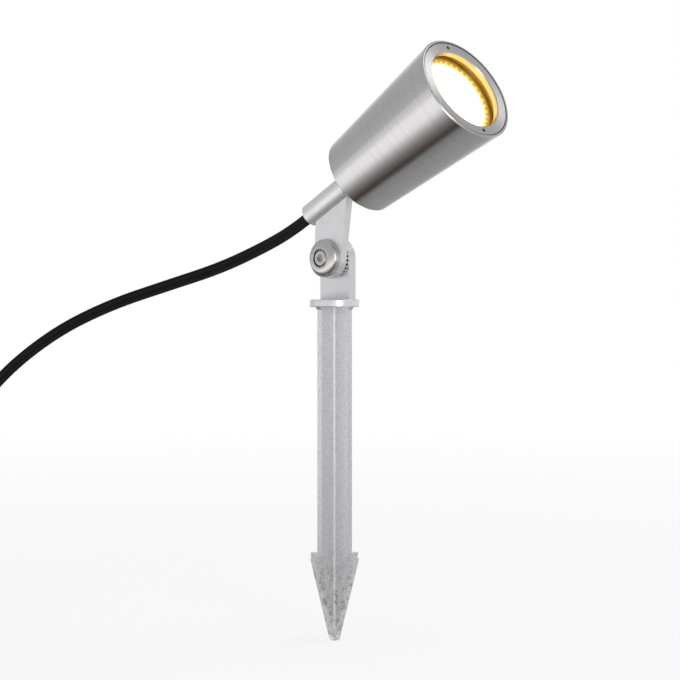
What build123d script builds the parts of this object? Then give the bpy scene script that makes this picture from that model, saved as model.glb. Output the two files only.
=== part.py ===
"""Garden spike spotlight: a turned conical lamp head on a tail bracket, clamped by a toothed
knuckle to a cross-ribbed cast spike, with its low-voltage flat cord and screw plug.

Frame: millimetres, +Z up. The origin is the centre of the collar's underside, which sits on
the soil. The knuckle's pivot runs along Y, and the lamp head points towards +X and up.
"""

import os
from math import acos, atan2, cos, hypot, pi, radians, sin, sqrt, tan

from build123d import *

# ---- Ground spike: spike, collar and upright ear are one casting ----
SPIKE_DEPTH = 183.0  # soil line to tip
RIB_THICKNESS = 3.4
RIB_REACH = 11.7  # axis to the edge of a rib
RIB_CORNER_RADIUS = 1.3  # inside corners between the ribs
RIB_CORNER_REACH = 1.6  # along a rib, from the corner to the end of its rounding
TIP_REACH = 2.1
BARB_REACH = 16.9
ARROW_LENGTH = 46.6  # tip to the top of the barbs
BARB_EDGE = 1.2  # upright end of a barb
BARB_RAKE = 0.7  # fall of a barb's top towards the rib
COLLAR_DIAMETER = 27.4
COLLAR_THICKNESS = 4.1
COLLAR_CHAMFER = 0.35
GUSSET = 1.5  # where the ribs run into the collar
EAR_WIDTH = 22.1
EAR_THICKNESS = 5.2
PIVOT_HEIGHT = 26.6

# ---- Toothed knuckle, along the pivot ----
TOOTH_COUNT = 30
TOOTH_DEPTH = 0.9
TOOTH_INNER_RADIUS = 7.5
TOOTH_OUTER_RADIUS = 10.9
TOOTH_BASE_SHARE = 0.94  # of the tooth pitch
TOOTH_TIP_SHARE = 0.22
TOOTH_CLEARANCE = 0.2  # between the two rings of teeth
SCREW_RADIUS = 2.5
SCREW_RUNNING_CLEARANCE = 0.05
SCREW_SHANK_LENGTH = 12.0
SCREW_HEAD_RADIUS = 4.25
SCREW_HEAD_HEIGHT = 3.5
SCREW_SOCKET_WIDTH = 4.0
SCREW_SOCKET_DEPTH = 2.0
SCREW_CHAMFER = 0.35
DOME_RADIUS = 10.5
DOME_HEIGHT = 4.8
DOME_RIM = 0.8
DOME_CROWN_RADIUS = 5.6
DOME_RECESS_RADIUS = 5.05
DOME_FLOOR = 1.2
DOME_CLEARANCE = 0.05

# ---- Tail bracket: stub, arm and toothed boss are one casting ----
HEAD_ELEVATION = 28.6  # degrees above the horizon
HEAD_OFFSET = 27.6  # pivot to the head's axis
ARM_THICKNESS = 4.7
ARM_END_RADIUS = 11.0
ARM_HEEL = 9.4  # rear edge behind the pivot
ARM_REAR_STATION = 2.5
ARM_FRONT_STATION = 29.5
STUB_RADIUS = 6.6
STUB_REAR_STATION = -1.3
STUB_CHAMFER = 0.9
CORD_BORE_RADIUS = 3.8
SPIGOT_RADIUS = 5.0
SPIGOT_LENGTH = 8.5
GROMMET_RADIUS = 5.0
GROMMET_LENGTH = 7.0
GROMMET_RECESS = 1.0

# ---- Lamp head: stations run along its axis ----
REAR_STATION = 41.1  # rear face, ahead of the foot of the pivot's perpendicular
HEAD_LENGTH = 86.1
REAR_RADIUS = 22.2
FRONT_RADIUS = 29.6
SHELL_WALL = 1.8
FRONT_LIP_ROUND = 0.5
CAP_RIM = 2.2
CAP_CHAMFER = 1.7
CAP_SPIGOT_LENGTH = 6.0
CAP_SPIGOT_RADIUS = 19.7
CAP_CLEARANCE = 0.1
CAP_FLOOR = 4.0
CAP_POCKET_RADIUS = 17.0
RING_GROOVE_WIDTH = 2.4
RING_GROOVE_DEPTH = 1.5
STUB_SEAL_RADIUS = 6.3
STUB_SEAL_THICKNESS = 0.8
NUT_ACROSS_FLATS = 14.0
NUT_THICKNESS = 3.0
THREAD_CLEARANCE = 0.1

# ---- Front of the head: bezel ring, glass and gaskets ----
APERTURE_RADIUS = 22.3
BEZEL_RADIUS = 28.05
BEZEL_THICKNESS = 3.2
BEZEL_SINK = 0.25  # ring's face below the shell's rim
BEZEL_CHAMFER = 0.5
BEZEL_CLEARANCE = 0.1
SPANNER_HOLE_RADIUS = 1.0
SPANNER_HOLE_DEPTH = 2.0
SPANNER_HOLE_REACH = 25.06
SLIP_WASHER_THICKNESS = 0.35
GASKET_THICKNESS = 0.5
GLASS_RADIUS = 26.8
GLASS_THICKNESS = 3.0
GLASS_CLEARANCE = 0.2
SEAT_GASKET_THICKNESS = 1.5
SEAT_LIP_RADIUS = 25.2
SEAT_LIP_LENGTH = 3.0

# ---- Lamp: reflector-lamp size, 50 mm across and 45 mm long ----
LAMP_RADIUS = 24.9
LAMP_LENGTH = 45.0
LAMP_GLASS_GAP = 0.3
LAMP_NECK_RADIUS = 9.5
LAMP_NECK_LENGTH = 12.0
LAMP_NECK_WALL = 1.8
LAMP_RIM_LENGTH = 4.0
LAMP_CUP_RADIUS = 23.1
LAMP_CUP_DEPTH = 11.0
LAMP_CUP_FLOOR = 2.0
LAMP_CORE_RADIUS = 15.0
LAMP_SHOULDER = 1.0  # steps of the heat sink's outline
FIN_COUNT = 24
FIN_SETBACK = 2.0
FIN_THICKNESS = 1.3
LED_BOARD_THICKNESS = 1.4
LED_BOARD_RADIUS = 20.0
LED_COUNT = 7
LED_RING_RADIUS = 9.0
LED_SIZE = 3.5
LED_HEIGHT = 0.8
LENS_RADIUS = 21.9
LENS_THICKNESS = 4.8
LENS_SINK = 0.8  # lens face below the lamp's rim
RETAINER_LEDGE = 1.4
RETAINER_NOTCHES = 36
RETAINER_NOTCH_WIDTH = 1.6
LAMP_FIT = 0.05
PIN_RADIUS = 0.75
PIN_LENGTH = 7.5
PIN_SPACING = 5.3
DRIVER_LENGTH = 9.0
DRIVER_WIDTH = 12.0
DRIVER_THICKNESS = 1.0
DRIVER_COIL_RADIUS = 2.6
DRIVER_COIL_HEIGHT = 3.2

# ---- Lamp socket and its bracket ----
SOCKET_DEPTH = 10.0
SOCKET_WIDTH = 18.0
SOCKET_HEIGHT = 11.0
SOCKET_CORNER = 2.5
CONTACT_RADIUS = 1.5
CONTACT_WALL = 0.65
CONTACT_LENGTH = 8.0
BRACKET_THICKNESS = 1.2
BRACKET_WIDTH = 10.0
BRACKET_SPAN = 17.0
BRACKET_FOOT = 7.0
BRACKET_WINDOW_WIDTH = 6.0
BRACKET_WINDOW_HEIGHT = 7.6
BRACKET_SCREW_REACH = 12.0
BRACKET_SCREW_RADIUS = 1.5
BRACKET_SCREW_HEAD_RADIUS = 2.7
BRACKET_SCREW_HEAD_HEIGHT = 1.8
BRACKET_SCREW_GRIP = 2.6
SOCKET_SCREW_REACH = 5.6
SOCKET_SCREW_RADIUS = 0.95
SOCKET_SCREW_HEAD_RADIUS = 1.6
SOCKET_SCREW_HEAD_HEIGHT = 1.2
SOCKET_SCREW_GRIP = 5.0
SCREW_HOLE_CLEARANCE = 0.1

# ---- Flat twin cord and its leads inside the head ----
CORD_WIDTH = 6.8
CORD_THICKNESS = 3.4
CORD_CORE_SPACING = 3.4
CORD_END_REACH = 0.4  # past the cord clamp
CLAMP_LENGTH = 2.4
CLAMP_WIDTH = 8.0
CLAMP_HEIGHT = 12.0
CLAMP_CORNER = 1.5
CLAMP_CLEARANCE = 0.1
CRIMP_RADIUS = 1.3
CRIMP_SHARE = 0.35  # of the way from the cord's end to the socket
LEAD_RADIUS = 0.8

# ---- Cord outside the head, lying on the level of the spike's tip ----
CORD_FIRST_RUN = 16.0  # straight out of the stub
CORD_ROUTE = [
    (-52.0, -6.5, 32.9),
    (-80.0, -13.0, 22.1),
    (-112.0, -25.0, 12.4),
    (-146.0, -41.0, 1.0),
    (-178.0, -58.5, -16.0),
    (-207.0, -77.5, -43.0),
    (-228.0, -94.0, -79.0),
    (-242.5, -104.4, -112.2),
    (-254.9, -111.0, -139.6),
    (-265.2, -114.6, -155.5),
    (-278.2, -116.6, -166.0),
]
CORD_LAST_RUN = 16.5  # level, onto the coil
COIL_CENTRE = (-318.0, -72.0)
COIL_RADIUS = 45.0  # outermost turn
COIL_PITCH = 7.3
COIL_GAP = 0.4  # least gap between turns
COIL_QUARTERS = 17
COIL_START_ANGLE = -90.0
TIE_WIDTH = 4.0
TIE_THICKNESS = 0.8
TIE_CLEARANCE = 0.15
TIE_ANGLE = 45.0
TAIL_STRAIGHT = 10.5  # each end of the cord between the coil and the plug
TAIL_SLOPE = 21.0  # the rise between them, along the ground

# ---- Screw plug ----
PLUG_PIN_RADIUS = 1.0
PLUG_PIN_LENGTH = 9.0
PLUG_PIN_SPACING = 7.2
PLUG_PIN_SEAT = 5.0
PLUG_PIN_ROOT_RADIUS = 1.4  # thicker root in the plug's body
PLUG_NOSE_RADIUS = 6.8
PLUG_NOSE_LENGTH = 7.0
PLUG_NUT_RADIUS = 9.85
PLUG_NUT_LENGTH = 13.3
PLUG_NUT_RIBS = 6
PLUG_NUT_GROOVE_RADIUS = 2.6
PLUG_NUT_GROOVE_DEPTH = 0.8
PLUG_NUT_CHAMFER = 1.3
PLUG_NUT_WALL = 1.65
PLUG_NUT_BACK = 2.4
PLUG_CLEARANCE = 0.3
PLUG_BARREL_RADIUS = 5.9
PLUG_FLANGE_RADIUS = 7.8
PLUG_FLANGE_LENGTH = 2.0
PLUG_PIN_CHAMFER = 0.4
RELIEF_LENGTH = 18.5
RELIEF_REAR_RADIUS = 6.0
RELIEF_FRONT_RADIUS = 6.9
RELIEF_SLOTS = 3
RELIEF_SLOT_LENGTH = 2.2
RELIEF_SLOT_DEPTH = 2.2
RELIEF_BRIDGE = 3.0
PLUG_SEAL_RADIUS = 0.6

os.makedirs("parts", exist_ok=True)

# ---- Shared places ----
elevation = radians(HEAD_ELEVATION)
head_direction = Vector(cos(elevation), 0, sin(elevation))
head_normal = Vector(-sin(elevation), 0, cos(elevation))
pivot = Vector(0, 0, PIVOT_HEIGHT)
arm_inner_face = 2 * TOOTH_DEPTH + TOOTH_CLEARANCE
arm_outer_face = arm_inner_face + ARM_THICKNESS
head_plane_y = -(arm_inner_face + ARM_THICKNESS / 2)
head_foot = pivot + head_normal * HEAD_OFFSET + Vector(0, head_plane_y, 0)
rear_centre = head_foot + head_direction * REAR_STATION

# Outlines of turned pieces: distance ahead of the head's rear face, then radius.
head_side = Plane(origin=rear_centre, x_dir=head_direction, z_dir=(0, -1, 0))
head_axis = Axis(rear_centre, head_direction)
# Outlines of turned pieces on the pivot: radius, then distance out from the ear's face.
knuckle_side = Plane(origin=pivot, x_dir=(1, 0, 0), z_dir=(0, 0, -1))
pivot_axis = Axis(pivot, (0, 1, 0))


def across_head(station):
    """Plane square to the head's axis: x runs sideways along +Y, y away from the pivot."""
    return Plane(
        origin=rear_centre + head_direction * station,
        x_dir=(0, 1, 0),
        z_dir=head_direction,
    )


def turn(corners, side=head_side, axis=head_axis, mode=Mode.ADD):
    """Turns an outline of (station, radius) corners about an axis, the head's by default."""
    with BuildSketch(side) as outline:
        with BuildLine():
            Polyline(*corners, close=True)
        make_face()
    revolve(outline.sketch, axis=axis, mode=mode)


def flat_section(mode=Mode.ADD):
    """Section of the flat twin cord, its width running away from the pivot."""
    SlotOverall(CORD_WIDTH, CORD_THICKNESS, rotation=90, mode=mode)


def shell_radius(station):
    """Outer radius of the conical head."""
    return REAR_RADIUS + (FRONT_RADIUS - REAR_RADIUS) * station / HEAD_LENGTH


def write(part, name):
    """Labels one finished piece and writes its file."""
    part.label = name
    export_step(part, f"parts/{name}.step")


# ---- Stations along the head, ahead of its rear face ----
stub_end = STUB_REAR_STATION - REAR_STATION
bezel_face = HEAD_LENGTH - BEZEL_SINK
bezel_back = bezel_face - BEZEL_THICKNESS
washer_back = bezel_back - SLIP_WASHER_THICKNESS
glass_face = washer_back - GASKET_THICKNESS
glass_back = glass_face - GLASS_THICKNESS
glass_seat = glass_back - SEAT_GASKET_THICKNESS
lip_back = glass_seat - SEAT_LIP_LENGTH
cap_end = CAP_RIM + CAP_SPIGOT_LENGTH
lamp_face = glass_seat - LAMP_GLASS_GAP
lamp_rear = lamp_face - LAMP_LENGTH
socket_back = lamp_rear - SOCKET_DEPTH
bracket_back = socket_back - BRACKET_THICKNESS
clamp_rear = SPIGOT_LENGTH + CLAMP_CLEARANCE
cord_end = clamp_rear + CLAMP_LENGTH + CORD_END_REACH
crimp_end = cord_end + (socket_back - cord_end) * CRIMP_SHARE
neck_front = lamp_rear + LAMP_NECK_LENGTH
cup_floor = lamp_face - LAMP_CUP_DEPTH
glass_bore_radius = GLASS_RADIUS + GLASS_CLEARANCE
bezel_bore_radius = BEZEL_RADIUS + BEZEL_CLEARANCE
cap_bore_radius = CAP_SPIGOT_RADIUS + CAP_CLEARANCE


# ======== Knuckle teeth ========
def knuckle_teeth():
    """Ring of radial locking teeth that stands on the XY plane, around the Z axis."""
    with BuildPart() as tooth:
        for radius in (TOOTH_INNER_RADIUS, TOOTH_OUTER_RADIUS):
            pitch = 2 * pi * radius / TOOTH_COUNT
            base = pitch * TOOTH_BASE_SHARE / 2
            tip = pitch * TOOTH_TIP_SHARE / 2
            across = Plane(origin=(radius, 0, 0), x_dir=(0, 1, 0), z_dir=(1, 0, 0))
            with BuildSketch(across) as section:
                with BuildLine():
                    Polyline((-base, 0), (base, 0), (tip, TOOTH_DEPTH), (-tip, TOOTH_DEPTH), close=True)
                make_face()
        loft()
    with BuildPart() as ring:
        with PolarLocations(0, TOOTH_COUNT):
            add(tooth.part)
    return ring.part


teeth = knuckle_teeth()
ear_seat = Plane(origin=pivot, x_dir=(1, 0, 0), z_dir=(0, -1, 0))
arm_seat = Plane(origin=pivot - Vector(0, arm_inner_face, 0), x_dir=(1, 0, 0), z_dir=(0, 1, 0))


# ======== Ground spike ========
def rib_outline():
    """Mirrored outline of one pair of ribs, from the tip up into the collar."""
    barb_top = ARROW_LENGTH - SPIKE_DEPTH
    side = [
        (TIP_REACH, -SPIKE_DEPTH),
        (BARB_REACH, barb_top - BARB_EDGE),
        (BARB_REACH, barb_top),
        (RIB_REACH, barb_top - BARB_RAKE),
        (RIB_REACH, -GUSSET),
        (RIB_REACH + GUSSET, 0),
        (RIB_REACH, COLLAR_THICKNESS / 2),
    ]
    return side + [(-x, z) for x, z in reversed(side)]


with BuildPart() as ground_spike:
    for rib_plane in (Plane.XZ, Plane.YZ):
        with BuildSketch(rib_plane):
            with BuildLine():
                Polyline(*rib_outline(), close=True)
            make_face()
        extrude(amount=RIB_THICKNESS / 2, both=True)
    # Rounded inside corners between the ribs, down to where the arrow tip gets narrow.
    corner_reach = RIB_THICKNESS / 2 + RIB_CORNER_REACH
    tip_slope = (BARB_REACH - TIP_REACH) / (ARROW_LENGTH - BARB_EDGE)
    corner_end = SPIKE_DEPTH - (corner_reach - TIP_REACH) / tip_slope
    with BuildSketch():
        Rectangle(2 * corner_reach, RIB_THICKNESS)
        Rectangle(RIB_THICKNESS, 2 * corner_reach)
        inner_corners = vertices().sort_by(lambda v: hypot(v.X, v.Y))[:4]
        fillet(inner_corners, RIB_CORNER_RADIUS)
    extrude(amount=-corner_end)
    with BuildSketch():
        Circle(COLLAR_DIAMETER / 2)
    extrude(amount=COLLAR_THICKNESS)
    collar_rims = edges().filter_by(GeomType.CIRCLE).sort_by(SortBy.LENGTH)[-2:]
    chamfer(collar_rims, COLLAR_CHAMFER)
    with BuildSketch(Plane.XZ):
        with Locations((0, PIVOT_HEIGHT)):
            Circle(EAR_WIDTH / 2)
        with Locations((0, (PIVOT_HEIGHT + COLLAR_THICKNESS) / 2)):
            Rectangle(EAR_WIDTH, PIVOT_HEIGHT - COLLAR_THICKNESS)
    extrude(amount=-EAR_THICKNESS)
    add(teeth.moved(ear_seat.location))
    with BuildSketch(Plane.XZ):
        with Locations((0, PIVOT_HEIGHT)):
            Circle(SCREW_RADIUS + SCREW_RUNNING_CLEARANCE)
    extrude(amount=EAR_THICKNESS + TOOTH_DEPTH, both=True, mode=Mode.SUBTRACT)
write(ground_spike.part, "ground_spike")

# ======== Knuckle clamp ========
dome_base = arm_outer_face + DOME_CLEARANCE
head_seat = dome_base + DOME_FLOOR
dome_top = dome_base + DOME_HEIGHT

with BuildPart() as dome_washer:
    with BuildSketch(knuckle_side):
        with BuildLine():
            rim = (DOME_RADIUS, dome_base + DOME_RIM)
            crown = (DOME_CROWN_RADIUS, dome_top)
            bulge = (
                DOME_CROWN_RADIUS + (DOME_RADIUS - DOME_CROWN_RADIUS) * sin(pi / 4),
                dome_base + DOME_RIM + (DOME_HEIGHT - DOME_RIM) * cos(pi / 4),
            )
            ThreePointArc(rim, bulge, crown)
            Polyline(
                crown,
                (DOME_RECESS_RADIUS, dome_top),
                (DOME_RECESS_RADIUS, head_seat),
                (SCREW_RADIUS + 2 * SCREW_RUNNING_CLEARANCE, head_seat),
                (SCREW_RADIUS + 2 * SCREW_RUNNING_CLEARANCE, dome_base),
                (DOME_RADIUS, dome_base),
                rim,
            )
        make_face()
    revolve(axis=pivot_axis)
write(dome_washer.part, "dome_washer")

with BuildPart() as clamp_screw:
    screw_top = head_seat + SCREW_HEAD_HEIGHT
    with BuildSketch(knuckle_side):
        with BuildLine():
            Polyline(
                (0, head_seat - SCREW_SHANK_LENGTH),
                (SCREW_RADIUS - SCREW_CHAMFER, head_seat - SCREW_SHANK_LENGTH),
                (SCREW_RADIUS, head_seat - SCREW_SHANK_LENGTH + SCREW_CHAMFER),
                (SCREW_RADIUS, head_seat),
                (SCREW_HEAD_RADIUS, head_seat),
                (SCREW_HEAD_RADIUS, screw_top - SCREW_CHAMFER),
                (SCREW_HEAD_RADIUS - SCREW_CHAMFER, screw_top),
                (0, screw_top),
                close=True,
            )
        make_face()
    revolve(axis=pivot_axis)
    with BuildSketch(Plane.XZ.offset(screw_top)):
        with Locations((0, PIVOT_HEIGHT)):
            RegularPolygon(SCREW_SOCKET_WIDTH / 2, 6, major_radius=False)
    extrude(amount=-SCREW_SOCKET_DEPTH, mode=Mode.SUBTRACT)
write(clamp_screw.part, "clamp_screw")


# ======== Tail bracket ========
def arm_corner(station):
    """Point in the XZ plane where an edge of the arm meets the underside of the stub."""
    point = head_foot + head_direction * station - head_normal * STUB_RADIUS
    return (point.X, point.Z)


def into_stub(lower, upper):
    """The upper point moved on along its edge, so that the arm ends inside the stub."""
    run = hypot(upper[0] - lower[0], upper[1] - lower[1])
    share = STUB_RADIUS * 0.75 / run
    return (
        upper[0] + (upper[0] - lower[0]) * share,
        upper[1] + (upper[1] - lower[1]) * share,
    )


front_corner = arm_corner(ARM_FRONT_STATION)
rear_corner = arm_corner(ARM_REAR_STATION)
corner_run = hypot(front_corner[0], front_corner[1] - PIVOT_HEIGHT)
tangent_angle = atan2(front_corner[1] - PIVOT_HEIGHT, front_corner[0]) - acos(ARM_END_RADIUS / corner_run)
front_tangent = (
    ARM_END_RADIUS * cos(tangent_angle),
    PIVOT_HEIGHT + ARM_END_RADIUS * sin(tangent_angle),
)
heel = (-ARM_HEEL, PIVOT_HEIGHT)

with BuildPart() as tail_bracket:
    with BuildSketch(Plane.XZ.offset(arm_inner_face)):
        with Locations((0, PIVOT_HEIGHT)):
            Circle(ARM_END_RADIUS)
        with BuildLine():
            Polyline(
                heel,
                (0, PIVOT_HEIGHT),
                front_tangent,
                into_stub(front_tangent, front_corner),
                into_stub(heel, rear_corner),
                close=True,
            )
        make_face()
    extrude(amount=ARM_THICKNESS)
    turn(
        [
            (stub_end, 0),
            (stub_end, STUB_RADIUS - STUB_CHAMFER),
            (stub_end + STUB_CHAMFER, STUB_RADIUS),
            (0, STUB_RADIUS),
            (0, SPIGOT_RADIUS),
            (SPIGOT_LENGTH, SPIGOT_RADIUS),
            (SPIGOT_LENGTH, 0),
        ]
    )
    add(teeth.moved(arm_seat.location))
    turn(
        [
            (stub_end, 0),
            (stub_end, GROMMET_RADIUS),
            (stub_end + GROMMET_RECESS + GROMMET_LENGTH, GROMMET_RADIUS),
            (stub_end + GROMMET_RECESS + GROMMET_LENGTH, CORD_BORE_RADIUS),
            (SPIGOT_LENGTH, CORD_BORE_RADIUS),
            (SPIGOT_LENGTH, 0),
        ],
        mode=Mode.SUBTRACT,
    )
    with BuildSketch(Plane.XZ):
        with Locations((0, PIVOT_HEIGHT)):
            Circle(SCREW_RADIUS + SCREW_RUNNING_CLEARANCE)
    extrude(amount=arm_outer_face, mode=Mode.SUBTRACT)
write(tail_bracket.part, "tail_bracket")


# ======== Cord inside the head ========
with BuildPart() as cord_grommet:
    with BuildSketch(across_head(stub_end + GROMMET_RECESS)):
        Circle(GROMMET_RADIUS)
        flat_section(mode=Mode.SUBTRACT)
    extrude(amount=GROMMET_LENGTH)
write(cord_grommet.part, "cord_grommet")

with BuildPart() as cord_inner:
    with BuildSketch(across_head(stub_end)):
        flat_section()
    extrude(amount=cord_end - stub_end)
write(cord_inner.part, "cord_inner")

with BuildPart() as cord_clamp:
    with BuildSketch(across_head(clamp_rear)):
        RectangleRounded(CLAMP_WIDTH, CLAMP_HEIGHT, CLAMP_CORNER)
        flat_section(mode=Mode.SUBTRACT)
    extrude(amount=CLAMP_LENGTH)
write(cord_clamp.part, "cord_clamp")


def in_head(station, side, up):
    """Point in the head: ahead of the rear face, sideways along +Y, and up from the axis."""
    return across_head(station).from_local_coords(Vector(side, up, 0))


with BuildPart() as crimp_sleeves:
    with BuildSketch(across_head(cord_end)):
        with GridLocations(0, CORD_CORE_SPACING, 1, 2):
            Circle(CRIMP_RADIUS)
    extrude(amount=crimp_end - cord_end)
write(crimp_sleeves.part, "crimp_sleeves")

with BuildPart() as lead_wires:
    # Each lead spreads from its core's place to its contact's.
    for direction in (1, -1):
        with BuildSketch(across_head(crimp_end)):
            with Locations((0, direction * CORD_CORE_SPACING / 2)):
                Circle(LEAD_RADIUS)
        with BuildSketch(across_head(socket_back)):
            with Locations((0, direction * PIN_SPACING / 2)):
                Circle(LEAD_RADIUS)
        loft()
write(lead_wires.part, "lead_wires")

# ======== Rear of the head ========
ring_groove = CAP_RIM + (CAP_SPIGOT_LENGTH - RING_GROOVE_WIDTH) / 2
with BuildPart() as rear_cap:
    bore = SPIGOT_RADIUS + THREAD_CLEARANCE
    turn(
        [
            (0, bore),
            (0, shell_radius(0) - CAP_CHAMFER),
            (CAP_CHAMFER, shell_radius(CAP_CHAMFER)),
            (CAP_RIM, shell_radius(CAP_RIM)),
            (CAP_RIM, CAP_SPIGOT_RADIUS),
            (ring_groove, CAP_SPIGOT_RADIUS),
            (ring_groove, CAP_SPIGOT_RADIUS - RING_GROOVE_DEPTH),
            (ring_groove + RING_GROOVE_WIDTH, CAP_SPIGOT_RADIUS - RING_GROOVE_DEPTH),
            (ring_groove + RING_GROOVE_WIDTH, CAP_SPIGOT_RADIUS),
            (cap_end, CAP_SPIGOT_RADIUS),
            (cap_end, CAP_POCKET_RADIUS),
            (CAP_FLOOR, CAP_POCKET_RADIUS),
            (CAP_FLOOR, bore),
        ]
    )
    turn(
        [
            (0, bore),
            (0, STUB_SEAL_RADIUS),
            (STUB_SEAL_THICKNESS, STUB_SEAL_RADIUS),
            (STUB_SEAL_THICKNESS, bore),
        ],
        mode=Mode.SUBTRACT,
    )
    with BuildSketch(across_head(CAP_FLOOR)):
        with GridLocations(2 * BRACKET_SCREW_REACH, 0, 2, 1):
            Circle(BRACKET_SCREW_RADIUS)
    extrude(amount=-BRACKET_SCREW_GRIP, mode=Mode.SUBTRACT)
write(rear_cap.part, "rear_cap")

with BuildPart() as rear_cap_seal:
    seal_section = (RING_GROOVE_DEPTH + CAP_CLEARANCE) / 2
    seal_centre = head_side.from_local_coords(
        Vector(ring_groove + RING_GROOVE_WIDTH / 2, cap_bore_radius - seal_section, 0)
    )
    with BuildSketch(Plane(origin=seal_centre, x_dir=head_direction, z_dir=(0, -1, 0))):
        Circle(seal_section - CAP_CLEARANCE / 4)
    revolve(axis=head_axis)
write(rear_cap_seal.part, "rear_cap_seal")

with BuildPart() as stub_seal:
    turn(
        [
            (0, SPIGOT_RADIUS + THREAD_CLEARANCE),
            (0, STUB_SEAL_RADIUS),
            (STUB_SEAL_THICKNESS, STUB_SEAL_RADIUS),
            (STUB_SEAL_THICKNESS, SPIGOT_RADIUS + THREAD_CLEARANCE),
        ]
    )
write(stub_seal.part, "stub_seal")

with BuildPart() as stub_nut:
    with BuildSketch(across_head(CAP_FLOOR)):
        RegularPolygon(NUT_ACROSS_FLATS / 2, 6, major_radius=False, rotation=30)
        Circle(SPIGOT_RADIUS + THREAD_CLEARANCE / 2, mode=Mode.SUBTRACT)
    extrude(amount=NUT_THICKNESS)
write(stub_nut.part, "stub_nut")

# ======== Head shell ========
with BuildPart() as head_shell:
    turn(
        [
            (CAP_RIM, cap_bore_radius),
            (CAP_RIM, shell_radius(CAP_RIM)),
            (HEAD_LENGTH - FRONT_LIP_ROUND, shell_radius(HEAD_LENGTH - FRONT_LIP_ROUND)),
            (HEAD_LENGTH, FRONT_RADIUS - FRONT_LIP_ROUND),
            (HEAD_LENGTH, bezel_bore_radius),
            (glass_face, bezel_bore_radius),
            (glass_face, glass_bore_radius),
            (glass_seat, glass_bore_radius),
            (glass_seat, SEAT_LIP_RADIUS),
            (lip_back, SEAT_LIP_RADIUS),
            (lip_back - SHELL_WALL, shell_radius(lip_back - SHELL_WALL) - SHELL_WALL),
            (cap_end + SHELL_WALL, shell_radius(cap_end + SHELL_WALL) - SHELL_WALL),
            (cap_end, cap_bore_radius),
        ]
    )
write(head_shell.part, "head_shell")

# ======== Bezel, glass and gaskets ========
with BuildPart() as bezel_ring:
    turn(
        [
            (bezel_back, APERTURE_RADIUS),
            (bezel_back, BEZEL_RADIUS),
            (bezel_face - BEZEL_CHAMFER / 2, BEZEL_RADIUS),
            (bezel_face, BEZEL_RADIUS - BEZEL_CHAMFER / 2),
            (bezel_face, APERTURE_RADIUS + BEZEL_CHAMFER),
            (bezel_face - BEZEL_CHAMFER, APERTURE_RADIUS),
        ]
    )
    with BuildSketch(across_head(bezel_face)):
        with PolarLocations(SPANNER_HOLE_REACH, 2, start_angle=90):
            Circle(SPANNER_HOLE_RADIUS)
    extrude(amount=-SPANNER_HOLE_DEPTH, mode=Mode.SUBTRACT)
write(bezel_ring.part, "bezel_ring")

with BuildPart() as slip_washer:
    with BuildSketch(across_head(washer_back)):
        Circle(BEZEL_RADIUS - BEZEL_CLEARANCE)
        Circle(APERTURE_RADIUS + BEZEL_CHAMFER, mode=Mode.SUBTRACT)
    extrude(amount=SLIP_WASHER_THICKNESS)
write(slip_washer.part, "slip_washer")

with BuildPart() as glass_gasket:
    with BuildSketch(across_head(glass_face)):
        Circle(GLASS_RADIUS)
        Circle(APERTURE_RADIUS + BEZEL_CHAMFER, mode=Mode.SUBTRACT)
    extrude(amount=GASKET_THICKNESS)
write(glass_gasket.part, "glass_gasket")

with BuildPart() as front_glass:
    with BuildSketch(across_head(glass_back)):
        Circle(GLASS_RADIUS)
    extrude(amount=GLASS_THICKNESS)
write(front_glass.part, "front_glass")

with BuildPart() as seat_gasket:
    with BuildSketch(across_head(glass_seat)):
        Circle(GLASS_RADIUS)
        Circle(SEAT_LIP_RADIUS + GLASS_CLEARANCE, mode=Mode.SUBTRACT)
    extrude(amount=SEAT_GASKET_THICKNESS)
write(seat_gasket.part, "seat_gasket")

# ======== Lamp ========
with BuildPart() as lamp_base:
    with BuildSketch(across_head(lamp_rear)):
        Circle(LAMP_NECK_RADIUS)
    extrude(amount=LAMP_NECK_LENGTH)
    with BuildSketch(across_head(lamp_rear + LAMP_NECK_WALL)):
        Circle(LAMP_NECK_RADIUS - LAMP_NECK_WALL)
    extrude(amount=LAMP_NECK_LENGTH - LAMP_NECK_WALL, mode=Mode.SUBTRACT)
    with BuildSketch(across_head(lamp_rear)):
        with GridLocations(0, PIN_SPACING, 1, 2):
            Circle(PIN_RADIUS)
    extrude(amount=LAMP_NECK_WALL, mode=Mode.SUBTRACT)
write(lamp_base.part, "lamp_base")

with BuildPart() as lamp_pins:
    with BuildSketch(across_head(lamp_rear - PIN_LENGTH)):
        with GridLocations(0, PIN_SPACING, 1, 2):
            Circle(PIN_RADIUS)
    extrude(amount=PIN_LENGTH + LAMP_NECK_WALL)
write(lamp_pins.part, "lamp_pins")

driver_rear = lamp_rear + LAMP_NECK_WALL
with BuildPart() as lamp_driver_board:
    with BuildSketch(across_head(driver_rear)):
        with Locations((0, -DRIVER_THICKNESS / 2 - PIN_RADIUS)):
            Rectangle(DRIVER_WIDTH, DRIVER_THICKNESS)
    extrude(amount=DRIVER_LENGTH)
write(lamp_driver_board.part, "lamp_driver_board")

with BuildPart() as lamp_driver_coil:
    board_centre = in_head(driver_rear + DRIVER_LENGTH / 2, 0, -PIN_RADIUS)
    with BuildSketch(Plane(origin=board_centre, x_dir=(0, 1, 0), z_dir=head_normal)):
        Circle(DRIVER_COIL_RADIUS)
    extrude(amount=DRIVER_COIL_HEIGHT)
write(lamp_driver_coil.part, "lamp_driver_coil")

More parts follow.
